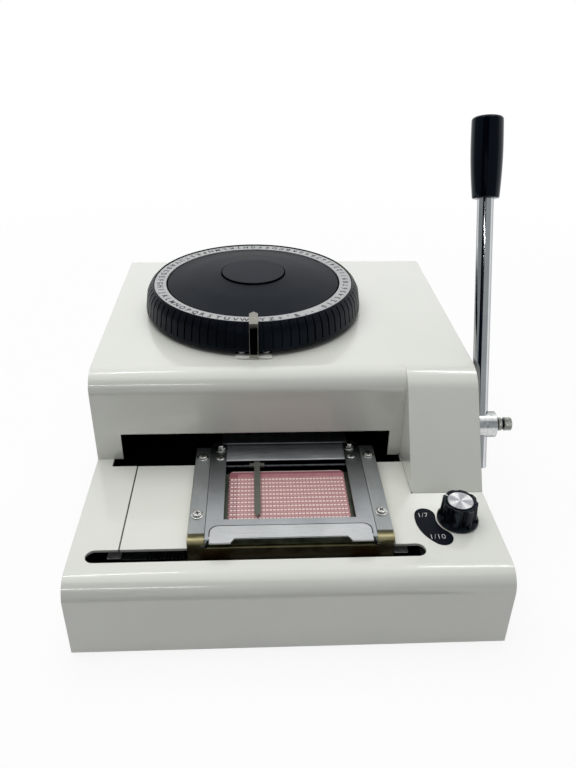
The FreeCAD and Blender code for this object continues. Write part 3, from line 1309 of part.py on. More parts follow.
knob_low = deck + s.label_wall + s.gap
knob_top = deck + s.knob_height
shaft_top = knob_top - 2 * s.cap_rise - s.knob_cover
selector_knob = body("selector_knob")
cap_seat = knob_top - s.cap_rise
turned(selector_knob, "grip", (0, shaft_top), (s.knob_shaft_radius + s.fit, shaft_top),
       (s.knob_shaft_radius + s.fit, knob_low), (s.knob_skirt_radius, knob_low),
       (s.knob_skirt_radius, knob_low + s.skirt_lip), (knob_neck, knob_low + s.skirt_height),
       (knob_top_radius, knob_top), (knob_cap_radius + s.fit, knob_top),
       (knob_cap_radius + s.fit, cap_seat), (0, cap_seat))
flute = sketch(selector_knob, "flute", "XY", knob_low + s.skirt_lip)
circle(flute, (knob_neck + s.flute_radius - s.flute_depth, 0), s.flute_radius)
flute_cut = pocket(selector_knob, "flute", flute, s.knob_height)
around(selector_knob, flute_cut, s.knob_flutes)
node("selector_knob", selector_knob, knob_foot)

cap_height = 2 * s.cap_rise
knob_cap = body("knob_cap")
turned(knob_cap, "disc", (0, cap_seat), (knob_cap_radius, cap_seat),
       (knob_cap_radius, cap_seat + cap_height - s.gap),
       (knob_cap_radius - s.gap, cap_seat + cap_height), (0, cap_seat + cap_height))
node("knob_cap", knob_cap, knob_foot)

cam_top = deck_under - s.knob_cam_gap
cam_low = cam_top - s.knob_cam_height
knob_shaft = body("knob_shaft")
turned(knob_shaft, "shaft", (0, cam_low), (s.knob_cam_radius, cam_low),
       (s.knob_cam_radius, cam_top), (s.knob_shaft_radius, cam_top),
       (s.knob_shaft_radius, shaft_top), (0, shaft_top))
node("knob_shaft", knob_shaft, knob_foot)

# Build, check and write each sub-part

doc.recompute()
if rib_cut.Shape.Volume >= solid_before:
    raise ValueError("the rib grooves cut nothing")
for item in doc.Objects:
    if "Invalid" in item.State or "Error" in item.State:
        raise ValueError(f"{item.Name} did not recompute")
for name, item in nodes.items():
    if item.Shape.isNull() or not item.Shape.isValid():
        raise ValueError(f"{name} has no valid shape")
    item.Shape.exportStep(f"parts/{name}.step")
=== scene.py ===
import math
import bpy
from mathutils import Matrix, Vector


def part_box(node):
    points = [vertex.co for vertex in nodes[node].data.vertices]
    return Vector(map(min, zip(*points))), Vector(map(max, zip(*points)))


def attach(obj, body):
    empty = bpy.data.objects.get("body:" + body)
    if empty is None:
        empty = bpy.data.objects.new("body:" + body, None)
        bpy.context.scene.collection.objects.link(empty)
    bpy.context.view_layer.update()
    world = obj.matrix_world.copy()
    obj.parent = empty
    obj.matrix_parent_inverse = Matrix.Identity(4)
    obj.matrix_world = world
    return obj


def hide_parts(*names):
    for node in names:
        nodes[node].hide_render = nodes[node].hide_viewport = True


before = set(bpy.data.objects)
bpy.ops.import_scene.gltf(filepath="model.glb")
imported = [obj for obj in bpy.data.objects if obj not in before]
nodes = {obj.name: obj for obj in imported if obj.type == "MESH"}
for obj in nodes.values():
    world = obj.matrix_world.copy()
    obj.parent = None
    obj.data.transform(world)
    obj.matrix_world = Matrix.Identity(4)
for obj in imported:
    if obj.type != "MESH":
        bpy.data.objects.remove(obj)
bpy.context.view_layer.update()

# Places are given in the maker's own frame, in millimetres: X from the middle of the body, Y from
# its front face, Z from the lower edge of the base cover.
mm = 0.001
baseLow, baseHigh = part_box("base_cover")
datum = Vector(((baseLow.x + baseHigh.x) / 2, baseLow.y, baseLow.z))


def at(x, y, z):
    return datum + Vector((x, y, z)) * mm


def inMaker(spot):
    return (spot - datum) / mm


def boxOf(node):
    # lowest and highest corner of a node, in the maker's frame
    return [inMaker(corner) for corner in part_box(node)]


def middleOf(node):
    low, high = boxOf(node)
    return (low + high) / 2


def moved(place):
    return Matrix.Translation(at(*place))


def turned(angle, axis):
    return Matrix.Rotation(angle, 4, axis)


def newObject(name, data):
    made = bpy.data.objects.new(name, data)
    bpy.context.scene.collection.objects.link(made)
    return made


def aimed(thing, setup, front):
    # stands a lamp or a card at its place, with its front axis towards its aim
    thing.location = at(*setup["place"])
    aim = at(*setup["aim"]) - at(*setup["place"])
    thing.rotation_euler = aim.to_track_quat(front, "Y").to_euler()


cameraSetup = {"place": (-21.23, -313.01, 394.64), "turn": 0.047, "down": 0.522, "roll": 0.012,
               "lens": 32.84, "sensor": 36, "shiftX": 0.0048, "shiftY": -0.0196, "nearest": 0.01}

cameraData = bpy.data.cameras.new("camera")
cameraData.lens = cameraSetup["lens"]
cameraData.sensor_width = cameraSetup["sensor"]
cameraData.shift_x = cameraSetup["shiftX"]
cameraData.shift_y = cameraSetup["shiftY"]
cameraData.clip_start = cameraSetup["nearest"]
camera = newObject("camera", cameraData)
camera.matrix_world = (moved(cameraSetup["place"]) @ turned(-cameraSetup["turn"], "Z")
                       @ turned(math.pi / 2 - cameraSetup["down"], "X")
                       @ turned(cameraSetup["roll"], "Z"))
bpy.context.scene.camera = camera
bpy.context.scene.view_settings.view_transform = "Standard"


def linear(hexColour):
    # sRGB hex to the linear values that the shaders take
    parts = [int(hexColour[i:i + 2], 16) / 255 for i in (1, 3, 5)]
    return [p / 12.92 if p <= 0.04045 else ((p + 0.055) / 1.055) ** 2.4 for p in parts] + [1]


def addNode(tree, kind, values=None):
    # settings by name and inputs by name or number; a node or an output as a value is linked
    node = tree.nodes.new("ShaderNode" + kind)
    for name, value in (values or {}).items():
        if isinstance(value, bpy.types.Node):
            value = value.outputs[0]
        if isinstance(value, bpy.types.NodeSocket):
            tree.links.new(value, node.inputs[name])
        elif isinstance(name, int) or name in node.inputs:
            node.inputs[name].default_value = value
        else:
            setattr(node, name, value)
    return node


# One wide bank over the rear of the roof, which mirrors don't see
ceilingBank = {"place": (-150, 340, 1250), "aim": (0, 190, 60), "size": (1.7, 1.2), "power": 13.2}

lampData = bpy.data.lights.new("ceilingBank", "AREA")
lampData.shape = "RECTANGLE"
lampData.size, lampData.size_y = ceilingBank["size"]
lampData.energy = ceilingBank["power"]
lampObject = newObject("ceilingBank", lampData)
lampObject.visible_glossy = False
aimed(lampObject, ceilingBank, "-Z")

# White to the eye and in mirrors, a softer grey as the fill light, which comes from above
fill = {"low": "#2A2C2E", "high": "#D8DADC", "strength": 0.63}
pureWhite = {"Color": (1, 1, 1, 1), "Strength": 1}

world = bpy.data.worlds.new("studio")
bpy.context.scene.world = world
world.use_nodes = True
tree = world.node_tree
tree.nodes.clear()
ray = addNode(tree, "LightPath")
seen = ray.outputs["Is Camera Ray"]
for rayKind in ("Is Transmission Ray", "Is Glossy Ray"):
    seen = addNode(tree, "Math", {"operation": "MAXIMUM", 0: seen, 1: ray.outputs[rayKind]})
direction = addNode(tree, "TexCoord")
height = addNode(tree, "SeparateXYZ", {0: direction.outputs["Generated"]})
sky = addNode(tree, "Mix", {"data_type": "RGBA", 0: height.outputs["Z"],
                            6: linear(fill["low"]), 7: linear(fill["high"])})
grey = addNode(tree, "Background", {"Color": sky.outputs[2], "Strength": fill["strength"]})
both = addNode(tree, "MixShader", {0: seen, 1: grey, 2: addNode(tree, "Background", pureWhite)})
addNode(tree, "OutputWorld", {"Surface": both})

# White paper to the eye, which keeps the object's shadow under it and fades it out further off
sweep = {"size": 80, "tone": "#D6D6D4", "seenTone": "#FFFFFF", "roughness": 0.9,
         "near": 0.3, "far": 1.0, "nearGlow": 0.88, "farGlow": 1.0}

bpy.ops.object.select_all(action="DESELECT")
bpy.ops.mesh.primitive_plane_add(size=sweep["size"], location=(0, 0, 0))
floor = bpy.context.object
floor.name = "studioFloor"
floorMaterial = bpy.data.materials.new("paper sweep")
floorMaterial.use_nodes = True
tree = floorMaterial.node_tree
paper = tree.nodes["Principled BSDF"]
paper.inputs["Roughness"].default_value = sweep["roughness"]
ray = addNode(tree, "LightPath")
sheet = addNode(tree, "Mix", {"data_type": "RGBA", 0: ray.outputs["Is Camera Ray"],
                              6: linear(sweep["tone"]), 7: linear(sweep["seenTone"])})
tree.links.new(sheet.outputs[2], paper.inputs["Base Color"])
spot = addNode(tree, "TexCoord")
away = addNode(tree, "VectorMath", {"operation": "LENGTH", 0: spot.outputs["Object"]})
share = addNode(tree, "MapRange", {0: away.outputs["Value"], 1: sweep["near"], 2: sweep["far"],
                                   3: sweep["nearGlow"], 4: sweep["farGlow"]})
share = addNode(tree, "Math", {"operation": "MULTIPLY", 0: share, 1: ray.outputs["Is Camera Ray"]})
share = addNode(tree, "Math", {"operation": "MAXIMUM", 0: share, 1: ray.outputs["Is Glossy Ray"]})
mixed = addNode(tree, "MixShader", {0: share, 1: paper, 2: addNode(tree, "Emission", pureWhite)})
tree.links.new(mixed.outputs[0], tree.nodes["Material Output"].inputs["Surface"])
floor.data.materials.append(floorMaterial)

# Cards that only mirrors see: bright metal and black plastic get dark and grey bands from the
# flags, and the folds of the enamel get their bright lines from the tubes and the panel.
cards = {
    "blackFlag": {"place": (-1100, -1400, 1250), "aim": (150, 182, 250), "size": (2.2, 2.6),
                  "tone": "#0A0F1A", "strength": 1},
    "greyFlag": {"place": (1080, -1700, 1000), "aim": (150, 182, 250), "size": (4.4, 3.2),
                 "tone": "#A2A6A8", "strength": 1},
    "leftFlag": {"place": (-1500, 182, 600), "aim": (150, 182, 250), "size": (2.0, 2.0),
                 "tone": "#8A8F92", "strength": 1},
    "lowFlag": {"place": (-430, -760, 2), "aim": (-430, -760, 900), "size": (1.14, 1.36),
                "tone": "#16191C", "strength": 1},
    "gripFlag": {"place": (-140, -450, 655), "aim": (152, 300, 340), "size": (0.44, 0.17),
                 "tone": "#0A0F1A", "strength": 1},
    "rearTube": {"place": (-430, 446, 1515), "aim": (-60, 10, 80), "size": (0.56, 0.05),
                 "tone": "#FFFFFF", "strength": 15},
    "frontTube": {"place": (-430, -1200, 957), "aim": (-60, 10, 80), "size": (0.56, 0.05),
                  "tone": "#FFFFFF", "strength": 15},
    "softPanel": {"place": (590, 446, 1515), "aim": (100, 10, 80), "size": (0.44, 0.13),
                  "tone": "#FFFFFF", "strength": 9},
}
for cardName, flag in cards.items():
    bpy.ops.mesh.primitive_plane_add(size=1, location=(0, 0, 0))
    plane = bpy.context.object
    plane.name = cardName
    plane.scale = (*flag["size"], 1)
    aimed(plane, flag, "Z")
    cloth = bpy.data.materials.new(f"{cardName} cloth")
    cloth.use_nodes = True
    tree = cloth.node_tree
    tree.nodes.clear()
    tone = addNode(tree, "Emission", {"Color": linear(flag["tone"]), "Strength": flag["strength"]})
    addNode(tree, "OutputMaterial", {"Surface": tone})
    plane.data.materials.append(cloth)
    plane.visible_camera = plane.visible_diffuse = plane.visible_shadow = False
print("camera, lamp, floor and cards are set")


def startMaterial(name, colour, roughness, metallic=0, sockets=None):
    material = bpy.data.materials.new(name)
    material.use_nodes = True
    tree = material.node_tree
    shader = tree.nodes["Principled BSDF"]
    values = {"Base Color": linear(colour), "Roughness": roughness, "Metallic": metallic}
    for socket, value in {**values, **(sockets or {})}.items():
        shader.inputs[socket].default_value = value
    place = addNode(tree, "TexCoord")
    inMm = addNode(tree, "VectorMath", {"operation": "SCALE", "Scale": 1 / mm,
                                        0: place.outputs["Object"]})
    return material, tree, shader, inMm.outputs[0]


def grain(tree, vector, size, stretch=(1, 1, 1), detail=3.0):
    # a noise whose grain is size mm, drawn out by stretch
    scale = tuple(1 / (size * part) for part in stretch)
    sized = addNode(tree, "Mapping", {"Scale": scale, "Vector": vector})
    return addNode(tree, "TexNoise", {"Scale": 1.0, "Detail": detail,
                                      "Vector": sized}).outputs["Fac"]


def twoTone(tree, shader, factor, darker, lighter, low=0.35, high=0.65):
    spread = addNode(tree, "MapRange", {0: factor, 1: low, 2: high})
    mix = addNode(tree, "Mix", {"data_type": "RGBA", 0: spread, 6: linear(darker),
                                7: linear(lighter)})
    tree.links.new(mix.outputs[2], shader.inputs["Base Color"])
    return mix.outputs[2]


def overlaid(tree, shader, ground, colour, factor):
    # lays a colour over the ground where the factor is 1
    mix = addNode(tree, "Mix", {"data_type": "RGBA", 0: factor, 6: ground, 7: linear(colour)})
    tree.links.new(mix.outputs[2], shader.inputs["Base Color"])
    return mix.outputs[2]


def allOf(tree, factors):
    # 1 where every factor is 1
    total = factors[0]
    for factor in factors[1:]:
        total = addNode(tree, "Math", {"operation": "MULTIPLY", 0: total, 1: factor})
    return total


def fade(tree, vector, axis, start, end):
    # 0 at start and 1 at end, in mm along an axis of the maker's frame
    parts = addNode(tree, "SeparateXYZ", {0: vector})
    zero = datum[axis] / mm
    return addNode(tree, "MapRange", {0: parts.outputs[axis], 1: zero + start, 2: zero + end})


def paintedShade(tree, shader, vector, ground, ranges):
    # painted shade: blackens the ground over ranges of place, each an axis with its start and end
    # in mm
    for axis, start, end in ranges:
        ground = overlaid(tree, shader, ground, "#050505", fade(tree, vector, axis, start, end))


def unevenGloss(tree, shader, factor, low, high):
    spread = addNode(tree, "MapRange", {0: factor, 1: 0.3, 2: 0.7, 3: low, 4: high})
    tree.links.new(spread.outputs[0], shader.inputs["Roughness"])


def relief(tree, shader, factor, depth, edge=0.3):
    # depth in mm; edge is the radius that the light sees on a corner, in mm
    rounded = addNode(tree, "Bevel", {"Radius": edge * mm, "samples": 4})
    bump = addNode(tree, "Bump", {"Strength": 1.0, "Distance": depth * mm, "Height": factor,
                                  "Normal": rounded})
    tree.links.new(bump.outputs[0], shader.inputs["Normal"])


def fromAxis(tree, vector, node):
    # the way out from a round node's upright axis, flat, and its length in mm
    low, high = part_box(node)
    offset = addNode(tree, "VectorMath", {"operation": "SUBTRACT", 0: vector,
                                          1: tuple((low + high) / 2 / mm)})
    flat = addNode(tree, "VectorMath", {"operation": "MULTIPLY", 0: offset, 1: (1, 1, 0)})
    return flat, addNode(tree, "VectorMath", {"operation": "LENGTH", 0: flat}).outputs["Value"]


def sheetEnamel(*shadeBands):
    # Baked gloss enamel on folded sheet: a warm white with faint orange peel and cloudy gloss.
    # Painted shade, a dark line where sheet meets sheet, lies where all the fades given, each an
    # axis with its start and end, are at their ends.
    material, tree, shader, vector = startMaterial("gloss baked enamel", "#E4E5DD", 0.24, 0,
                                                   {"IOR": 1.5, "Coat Weight": 0.8,
                                                    "Coat Roughness": 0.06})
    ground = twoTone(tree, shader, grain(tree, vector, 60), "#E3E4DC", "#E5E6DE")
    if shadeBands:
        overlaid(tree, shader, ground, "#2A2B29",
                 allOf(tree, [fade(tree, vector, *edge) for edge in shadeBands]))
    unevenGloss(tree, shader, grain(tree, vector, 22), 0.22, 0.26)
    relief(tree, shader, grain(tree, vector, 1.6), 0.0014, edge=0.8)
    return material


pointerFoot = {"height": 1.5, "bareHalf": 3.5, "shadeFrom": 163.4, "shadeBy": 164.0}


def footEnamelAndPaintedShade():
    # The pointer's foot: enamelled like the cover in front, with near-black painted shade under the
    # dial.
    material, tree, shader, vector = startMaterial("gloss enamel with painted shade under the dial", "#E4E5DD",
                                                   0.24, 0, {"IOR": 1.5})
    ground = twoTone(tree, shader, grain(tree, vector, 60), "#E3E4DC", "#E5E6DE")
    overlaid(tree, shader, ground, "#050608",
             fade(tree, vector, 1, pointerFoot["shadeFrom"], pointerFoot["shadeBy"]))
    relief(tree, shader, grain(tree, vector, 1.6), 0.003, edge=0.2)
    return material


def insidePrimerWithPaintedShade():
    # Near-black primer on the faces that get no top coat: flat and dusty. Its near-black tone is
    # partly painted shade, for the unlit inside of the body and the gaps between parts.
    material, tree, shader, vector = startMaterial("dark primer", "#0B0C0D", 0.8, 0,
                                                   {"Specular IOR Level": 0.2})
    twoTone(tree, shader, grain(tree, vector, 9), "#060607", "#0C0C0D")
    relief(tree, shader, grain(tree, vector, 0.6), 0.02)
    return material


def brushedSteel(name, darker, lighter, along, roughness, line=0.35, edge=0.35, dark=()):
    # Cold-rolled steel brushed one way: fine lines along the brushing, broad cloudy tone across.
    # Real brushing is too fine to show in a render, so line draws it coarser.
    material, tree, shader, vector = startMaterial(name, lighter, roughness, 1)
    stretch = tuple(60 if axis == along else 1 for axis in "xyz")
    lines = grain(tree, vector, line, stretch, 2.0)
    clouds = grain(tree, vector, 22)
    both = addNode(tree, "Math", {"operation": "MULTIPLY_ADD", 0: lines, 1: 0.5, 2: clouds})
    ground = twoTone(tree, shader, both, darker, lighter, 0.5, 0.95)
    # painted shade over the ranges in dark
    paintedShade(tree, shader, vector, ground, dark)
    unevenGloss(tree, shader, lines, roughness - 0.06, roughness + 0.08)
    relief(tree, shader, lines, 0.006, edge)
    return material


def plainMetal(name, colour, darker, roughness, size, depth=0.004, edge=0.2, dark=(),
               sockets=None):
    # Turned, ground or plated metal: a grain of its own size over a nearly even tone.
    material, tree, shader, vector = startMaterial(name, colour, roughness, 1, sockets)
    cloud = grain(tree, vector, size)
    ground = twoTone(tree, shader, cloud, darker, colour)
    # painted shade over the ranges in dark
    paintedShade(tree, shader, vector, ground, dark)
    unevenGloss(tree, shader, cloud, roughness * 0.8, roughness * 1.25)
    relief(tree, shader, grain(tree, vector, size / 6), depth, edge)
    return material


def mouldedPlastic(name, colour, lighter, roughness, size, depth, sockets=None, edge=0.3):
    # Injection-moulded plastic: the tool's grain in the relief, a slight bloom in the colour.
    material, tree, shader, vector = startMaterial(name, colour, roughness, 0,
                                                   {"IOR": 1.5, **(sockets or {})})
    twoTone(tree, shader, grain(tree, vector, 18), colour, lighter)
    unevenGloss(tree, shader, grain(tree, vector, 7), roughness * 0.96, roughness * 1.04)
    relief(tree, shader, grain(tree, vector, size), depth, edge)
    return material


# Painted shade: dark lines where sheet meets sheet, at the plate's left edge and at the foot of the
# column's left wall. Each comes in between its two distances; the column's points lie in front of
# columnEnd.
paintedSeamShade = {"plate": (0.9, 0.5), "wall": (1.2, 0.8), "foot": (1.1, 0.8), "columnEnd": 110}

plateLeft = boxOf("deck_plate")[0].x
deckTop = boxOf("base_cover")[1].z
columnLeft = min(inMaker(point.co).x for point in nodes["upper_cover"].data.vertices
                 if inMaker(point.co).y < paintedSeamShade["columnEnd"])
enamel = sheetEnamel()
plateEnamelWithShade = sheetEnamel((0, *(plateLeft + part for part in paintedSeamShade["plate"])))
coverEnamelWithShade = sheetEnamel((0, *(columnLeft + part for part in paintedSeamShade["wall"])),
                          (0, *(columnLeft - part for part in paintedSeamShade["wall"])),
                          (2, *(deckTop + part for part in paintedSeamShade["foot"])))
primerWithPaintedShade = insidePrimerWithPaintedShade()

# Steels in sheet, by their brushing. The clamp frame and the rear bar darken towards the rear, a
# painted dark reflection of the cover's underside, and the bar has painted shade at both its ends
# as well.
barLow, barHigh = boxOf("rear_bar")
barEndShade = [(0, barLow.x + 1.4, barLow.x + 0.8), (0, barHigh.x - 1.4, barHigh.x - 0.8)]
stripSteel = brushedSteel("brushed cold-rolled steel", "#9CA0A1", "#B0B4B5", "y", 0.38)
frameSteel = brushedSteel("satin cold-rolled steel", "#A8ACAF", "#BCC0C3", "x", 0.36,
                          dark=[(1, 45, 158)])
crossSteel = brushedSteel("dull brushed steel", "#C6CACC", "#D6DADC", "x", 0.5, edge=1.0,
                          dark=[*barEndShade, (1, 126, 140)])
lipSteel = brushedSteel("satin stainless steel", "#C2C5C6", "#D0D3D4", "x", 0.3, line=0.5)

# Plated and bare metals, with the size of their grain in mm
rackTop = boxOf("spacing_rack")[1].z
zincSteel = plainMetal("bright zinc-plated steel", "#8E9092", "#7E8083", 0.35, 5)
# painted shade: the bracket goes near black down into the slot and towards the rear
goldZinc = plainMetal("yellow-passivated zinc", "#BDB48C", "#A89F78", 0.36, 7, edge=1.2,
                      dark=[(2, 65.8, 49.5), (1, 98, 106)])
# painted shade: the tray goes near black at its rear
trayZinc = plainMetal("olive-passivated zinc", "#6F7568", "#5D6357", 0.4, 7,
                      dark=[(1, 105.5, 107)])
chrome = plainMetal("polished chromium plate", "#D2D4D6", "#CACCCE", 0.07, 12, depth=0.0005,
                    sockets={"Specular Tint": (0.4, 0.42, 0.44, 1)})
castChrome = plainMetal("chromium plate over a casting", "#D6D8D8", "#C0C2C2", 0.2, 2.5,
                        depth=0.012, edge=0.6, sockets={"Specular Tint": (0.3, 0.31, 0.32, 1)})
rodSteel = plainMetal("dark bright-drawn steel", "#5C6064", "#50545A", 0.3, 4)
# painted shade: a darker copy of the screw steel for the recesses of the cross heads
recessShadeSteel = plainMetal("shaded zinc-plated steel", "#4A4B4D", "#3E3F41", 0.5, 3)
screwSteel = plainMetal("nickel-plated steel", "#D6D6D2", "#C2C2BE", 0.18, 2, depth=0.002)
knurledSteel = plainMetal("knurled turned steel", "#B4B5AF", "#969790", 0.34, 2, depth=0.003)
satinNickel = plainMetal("satin nickel plate", "#82847C", "#7A7C74", 0.6, 9, depth=0.0005)
# painted light and shade: the brackets' near-white tone lights their upper part in the slot, and
# their lower part is painted near black
bracketSteelLitAndShaded = plainMetal("sawn mild steel with painted light and shade", "#F4F4F2", "#E6E7E4", 0.6, 3, dark=[(2, 49.8, 49.2)])
# painted shade: the rack goes near black below a thin band at its top
rackSteel = plainMetal("rack steel with painted shade below its top edge", "#74777A", "#66696C", 0.5, 3,
                       dark=[(2, rackTop - 0.7, rackTop - 1.0)])
blackSteel = plainMetal("blackened tool steel", "#17191B", "#0F1112", 0.5, 6)
typeSteel = plainMetal("hardened type steel", "#2A2D30", "#1C1F22", 0.34, 3)
bronze = plainMetal("sintered bronze", "#8A683C", "#6E5029", 0.5, 2)

# Plastics, rubber, lacquer and inks, with the size and the depth of their grain in mm
blueBlack = {"Specular Tint": (0.55, 0.75, 1, 1)}
ringLacquer = mouldedPlastic("silver-grey lacquered aluminium", "#B4B6B6", "#BCBDBD", 0.55, 1.5,
                             0.002, {"Specular IOR Level": 0.2})
rimPlastic = mouldedPlastic("grained black ABS", "#04060A", "#07090E", 0.38, 0.9, 0.09,
                            {"Specular IOR Level": 0.16, **blueBlack}, edge=0.5)
gripPlastic = mouldedPlastic("gloss black phenolic", "#03050A", "#050810", 0.1, 3, 0.003,
                             {"Specular IOR Level": 0.2, **blueBlack}, edge=0.6)
knobPlastic = mouldedPlastic("gloss black moulded ABS", "#06070A", "#090B0F", 0.14, 2, 0.004,
                             {"Specular IOR Level": 0.28, **blueBlack})
whiteNylon = mouldedPlastic("white moulded nylon", "#E4E4DE", "#F0F0EA", 0.4, 1, 0.01)
footRubber = mouldedPlastic("black moulded rubber", "#0E0E0E", "#171717", 0.8, 0.8, 0.04)
labelVinyl = mouldedPlastic("satin black printed vinyl", "#0B0E13", "#101319", 0.42, 0.5, 0.004,
                            {"Specular IOR Level": 0.1, **blueBlack})
whiteInk = mouldedPlastic("white screen-printed ink", "#E8E8E6", "#F4F4F2", 0.5, 0.4, 0.002)
slateInk = mouldedPlastic("slate screen-printed ink", "#171C22", "#1E242B", 0.55, 0.4, 0.002)

# The cap's painted sheen, light and dark spokes all round, and its rings in radians to the mm
spun = {"paintedSheenRays": 4.0, "rings": 14.0}


def capSpun():
    # Spun aluminium insert: rings from the lathe in the relief, and a painted sheen in the colour,
    # light and dark spokes where the rings would throw their highlight.
    material, tree, shader, vector = startMaterial("spun aluminium", "#D9DADB", 0.25, 1)
    flat, radius = fromAxis(tree, vector, "knob_cap")
    parts = addNode(tree, "SeparateXYZ", {0: flat})
    angle = addNode(tree, "Math", {"operation": "ARCTAN2", 0: parts.outputs[1],
                                   1: parts.outputs[0]})
    waves = []
    for source, rate in ((angle, spun["paintedSheenRays"]), (radius, spun["rings"])):
        wave = addNode(tree, "Math", {"operation": "MULTIPLY", 0: source, 1: rate})
        waves.append(addNode(tree, "Math", {"operation": "SINE", 0: wave}))
    paintedSheenRays = addNode(tree, "MapRange", {0: waves[0], 1: -1.0, 2: 1.0})
    twoTone(tree, shader, paintedSheenRays, "#B4B6BA", "#F4F4F4", 0.25, 1.0)
    relief(tree, shader, waves[1].outputs[0], 0.006, edge=0.2)
    return material


disc = {"shadeFrom": 1.0, "shadeBy": 0.7, "gloss": 0.14}


def discPlastic(node, tone, lighter):
    # A round cover of black plastic with painted shade, near black and without sheen, where its rim
    # turns down into the gap.
    low, high = boxOf(node)
    material, tree, shader, vector = startMaterial(f"satin black ABS, {node}", tone, 0.48, 0,
                                                   {"IOR": 1.5, "Specular IOR Level": disc["gloss"],
                                                    **blueBlack})
    ground = twoTone(tree, shader, grain(tree, vector, 18), tone, lighter)
    radius = fromAxis(tree, vector, node)[1]
    outer = (high.x - low.x) / 2
    rim = {0: radius, 1: outer - disc["shadeFrom"], 2: outer - disc["shadeBy"]}
    overlaid(tree, shader, ground, "#010102", addNode(tree, "MapRange", rim))
    shine = addNode(tree, "MapRange", {**rim, 3: disc["gloss"], 4: 0.0})
    tree.links.new(shine.outputs[0], shader.inputs["Specular IOR Level"])
    relief(tree, shader, grain(tree, vector, 0.7), 0.02)
    return material


pointer = {"topEdge": (1.6, 4), "footEdge": (3.2, 4.4), "sideEdge": (3.15, 2.85)}


def pointerSteel():
    # Bright strip steel whose upright face is a painted dark reflection of the dial, near black,
    # with the bright steel left along its cut edges, its top and its foot.
    material, tree, shader, vector = startMaterial("bright strip steel", "#9A9990", 0.3, 1)
    ground = twoTone(tree, shader, grain(tree, vector, 1.2), "#8B8A82", "#A3A299")
    low, high = boxOf("dial_pointer")
    middle = (low.x + high.x) / 2
    edges = [(2, *(high.z - part for part in pointer["topEdge"])),
             (2, *(low.z + part for part in pointer["footEdge"]))]
    edges += [(0, *(middle + side * part for part in pointer["sideEdge"])) for side in (-1, 1)]
    overlaid(tree, shader, ground, "#06070A",
             allOf(tree, [fade(tree, vector, *edge) for edge in edges]))
    relief(tree, shader, grain(tree, vector, 1), 0.001, edge=0.6)
    return material


# Each way across the card has the count, the pitch and the shift of its places, and the share of
# the pitch that a dash takes.
card = {"across": (33, 2.54, 0, 0.76), "along": (11, 4.233, -3.6, 0.4), "line": 0.16,
        "leftMargin": 6.5, "rearPaintedShadow": 3.0, "rearEdge": 0.7}


def printedCard():
    # Printed card stock: a rose ground, a pale dash at every place where a type can strike, fine
    # pale lines between the rows, and a deeper red margin at the left; the same deeper red along
    # the rear is painted shadow.
    material, tree, shader, vector = startMaterial("printed rose card stock", "#BC7783", 0.45)
    low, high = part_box("position_card")
    corner = addNode(tree, "VectorMath", {"operation": "SUBTRACT", 0: vector,
                                          1: tuple(low / mm)})
    parts = addNode(tree, "SeparateXYZ", {0: corner})
    size = (high - low) / mm
    dashes = []
    for axis, (count, pitch, shift, dash) in enumerate((card["across"], card["along"])):
        start = (size[axis] - count * pitch) / 2 + shift
        cell = addNode(tree, "Math", {"operation": "SUBTRACT", 0: parts.outputs[axis], 1: start})
        cell = addNode(tree, "Math", {"operation": "DIVIDE", 0: cell, 1: pitch})
        away = addNode(tree, "Math", {"operation": "SUBTRACT", 0: cell, 1: 0.5})
        away = addNode(tree, "Math", {"operation": "PINGPONG", 0: away, 1: 0.5})
        field = [addNode(tree, "Math", {"operation": "GREATER_THAN", 0: cell, 1: 0}),
                 addNode(tree, "Math", {"operation": "LESS_THAN", 0: cell, 1: count})]
        dashes += [addNode(tree, "Math", {"operation": "LESS_THAN", 0: away, 1: dash / 2}), *field]
    line = addNode(tree, "Math", {"operation": "GREATER_THAN", 0: away,
                                  1: (1 - card["line"]) / 2})
    left = addNode(tree, "Math", {"operation": "LESS_THAN", 0: parts.outputs[0],
                                  1: card["leftMargin"]})
    rear, edge = [addNode(tree, "Math", {"operation": "GREATER_THAN", 0: parts.outputs[1],
                                         1: size.y - card[band]})
                  for band in ("rearPaintedShadow", "rearEdge")]
    ground = twoTone(tree, shader, grain(tree, vector, 3), "#A26B71", "#AE797D")
    # the band along the rear is painted shadow, in the margin's deeper red
    for colour, factor in (("#86505A", left), ("#86505A", rear),
                           ("#C9A19F", allOf(tree, [line, *field])),
                           ("#E6D2CA", allOf(tree, dashes)), ("#D9C4BC", edge)):
        ground = overlaid(tree, shader, ground, colour, factor)
    relief(tree, shader, grain(tree, vector, 0.4), 0.004)
    return material


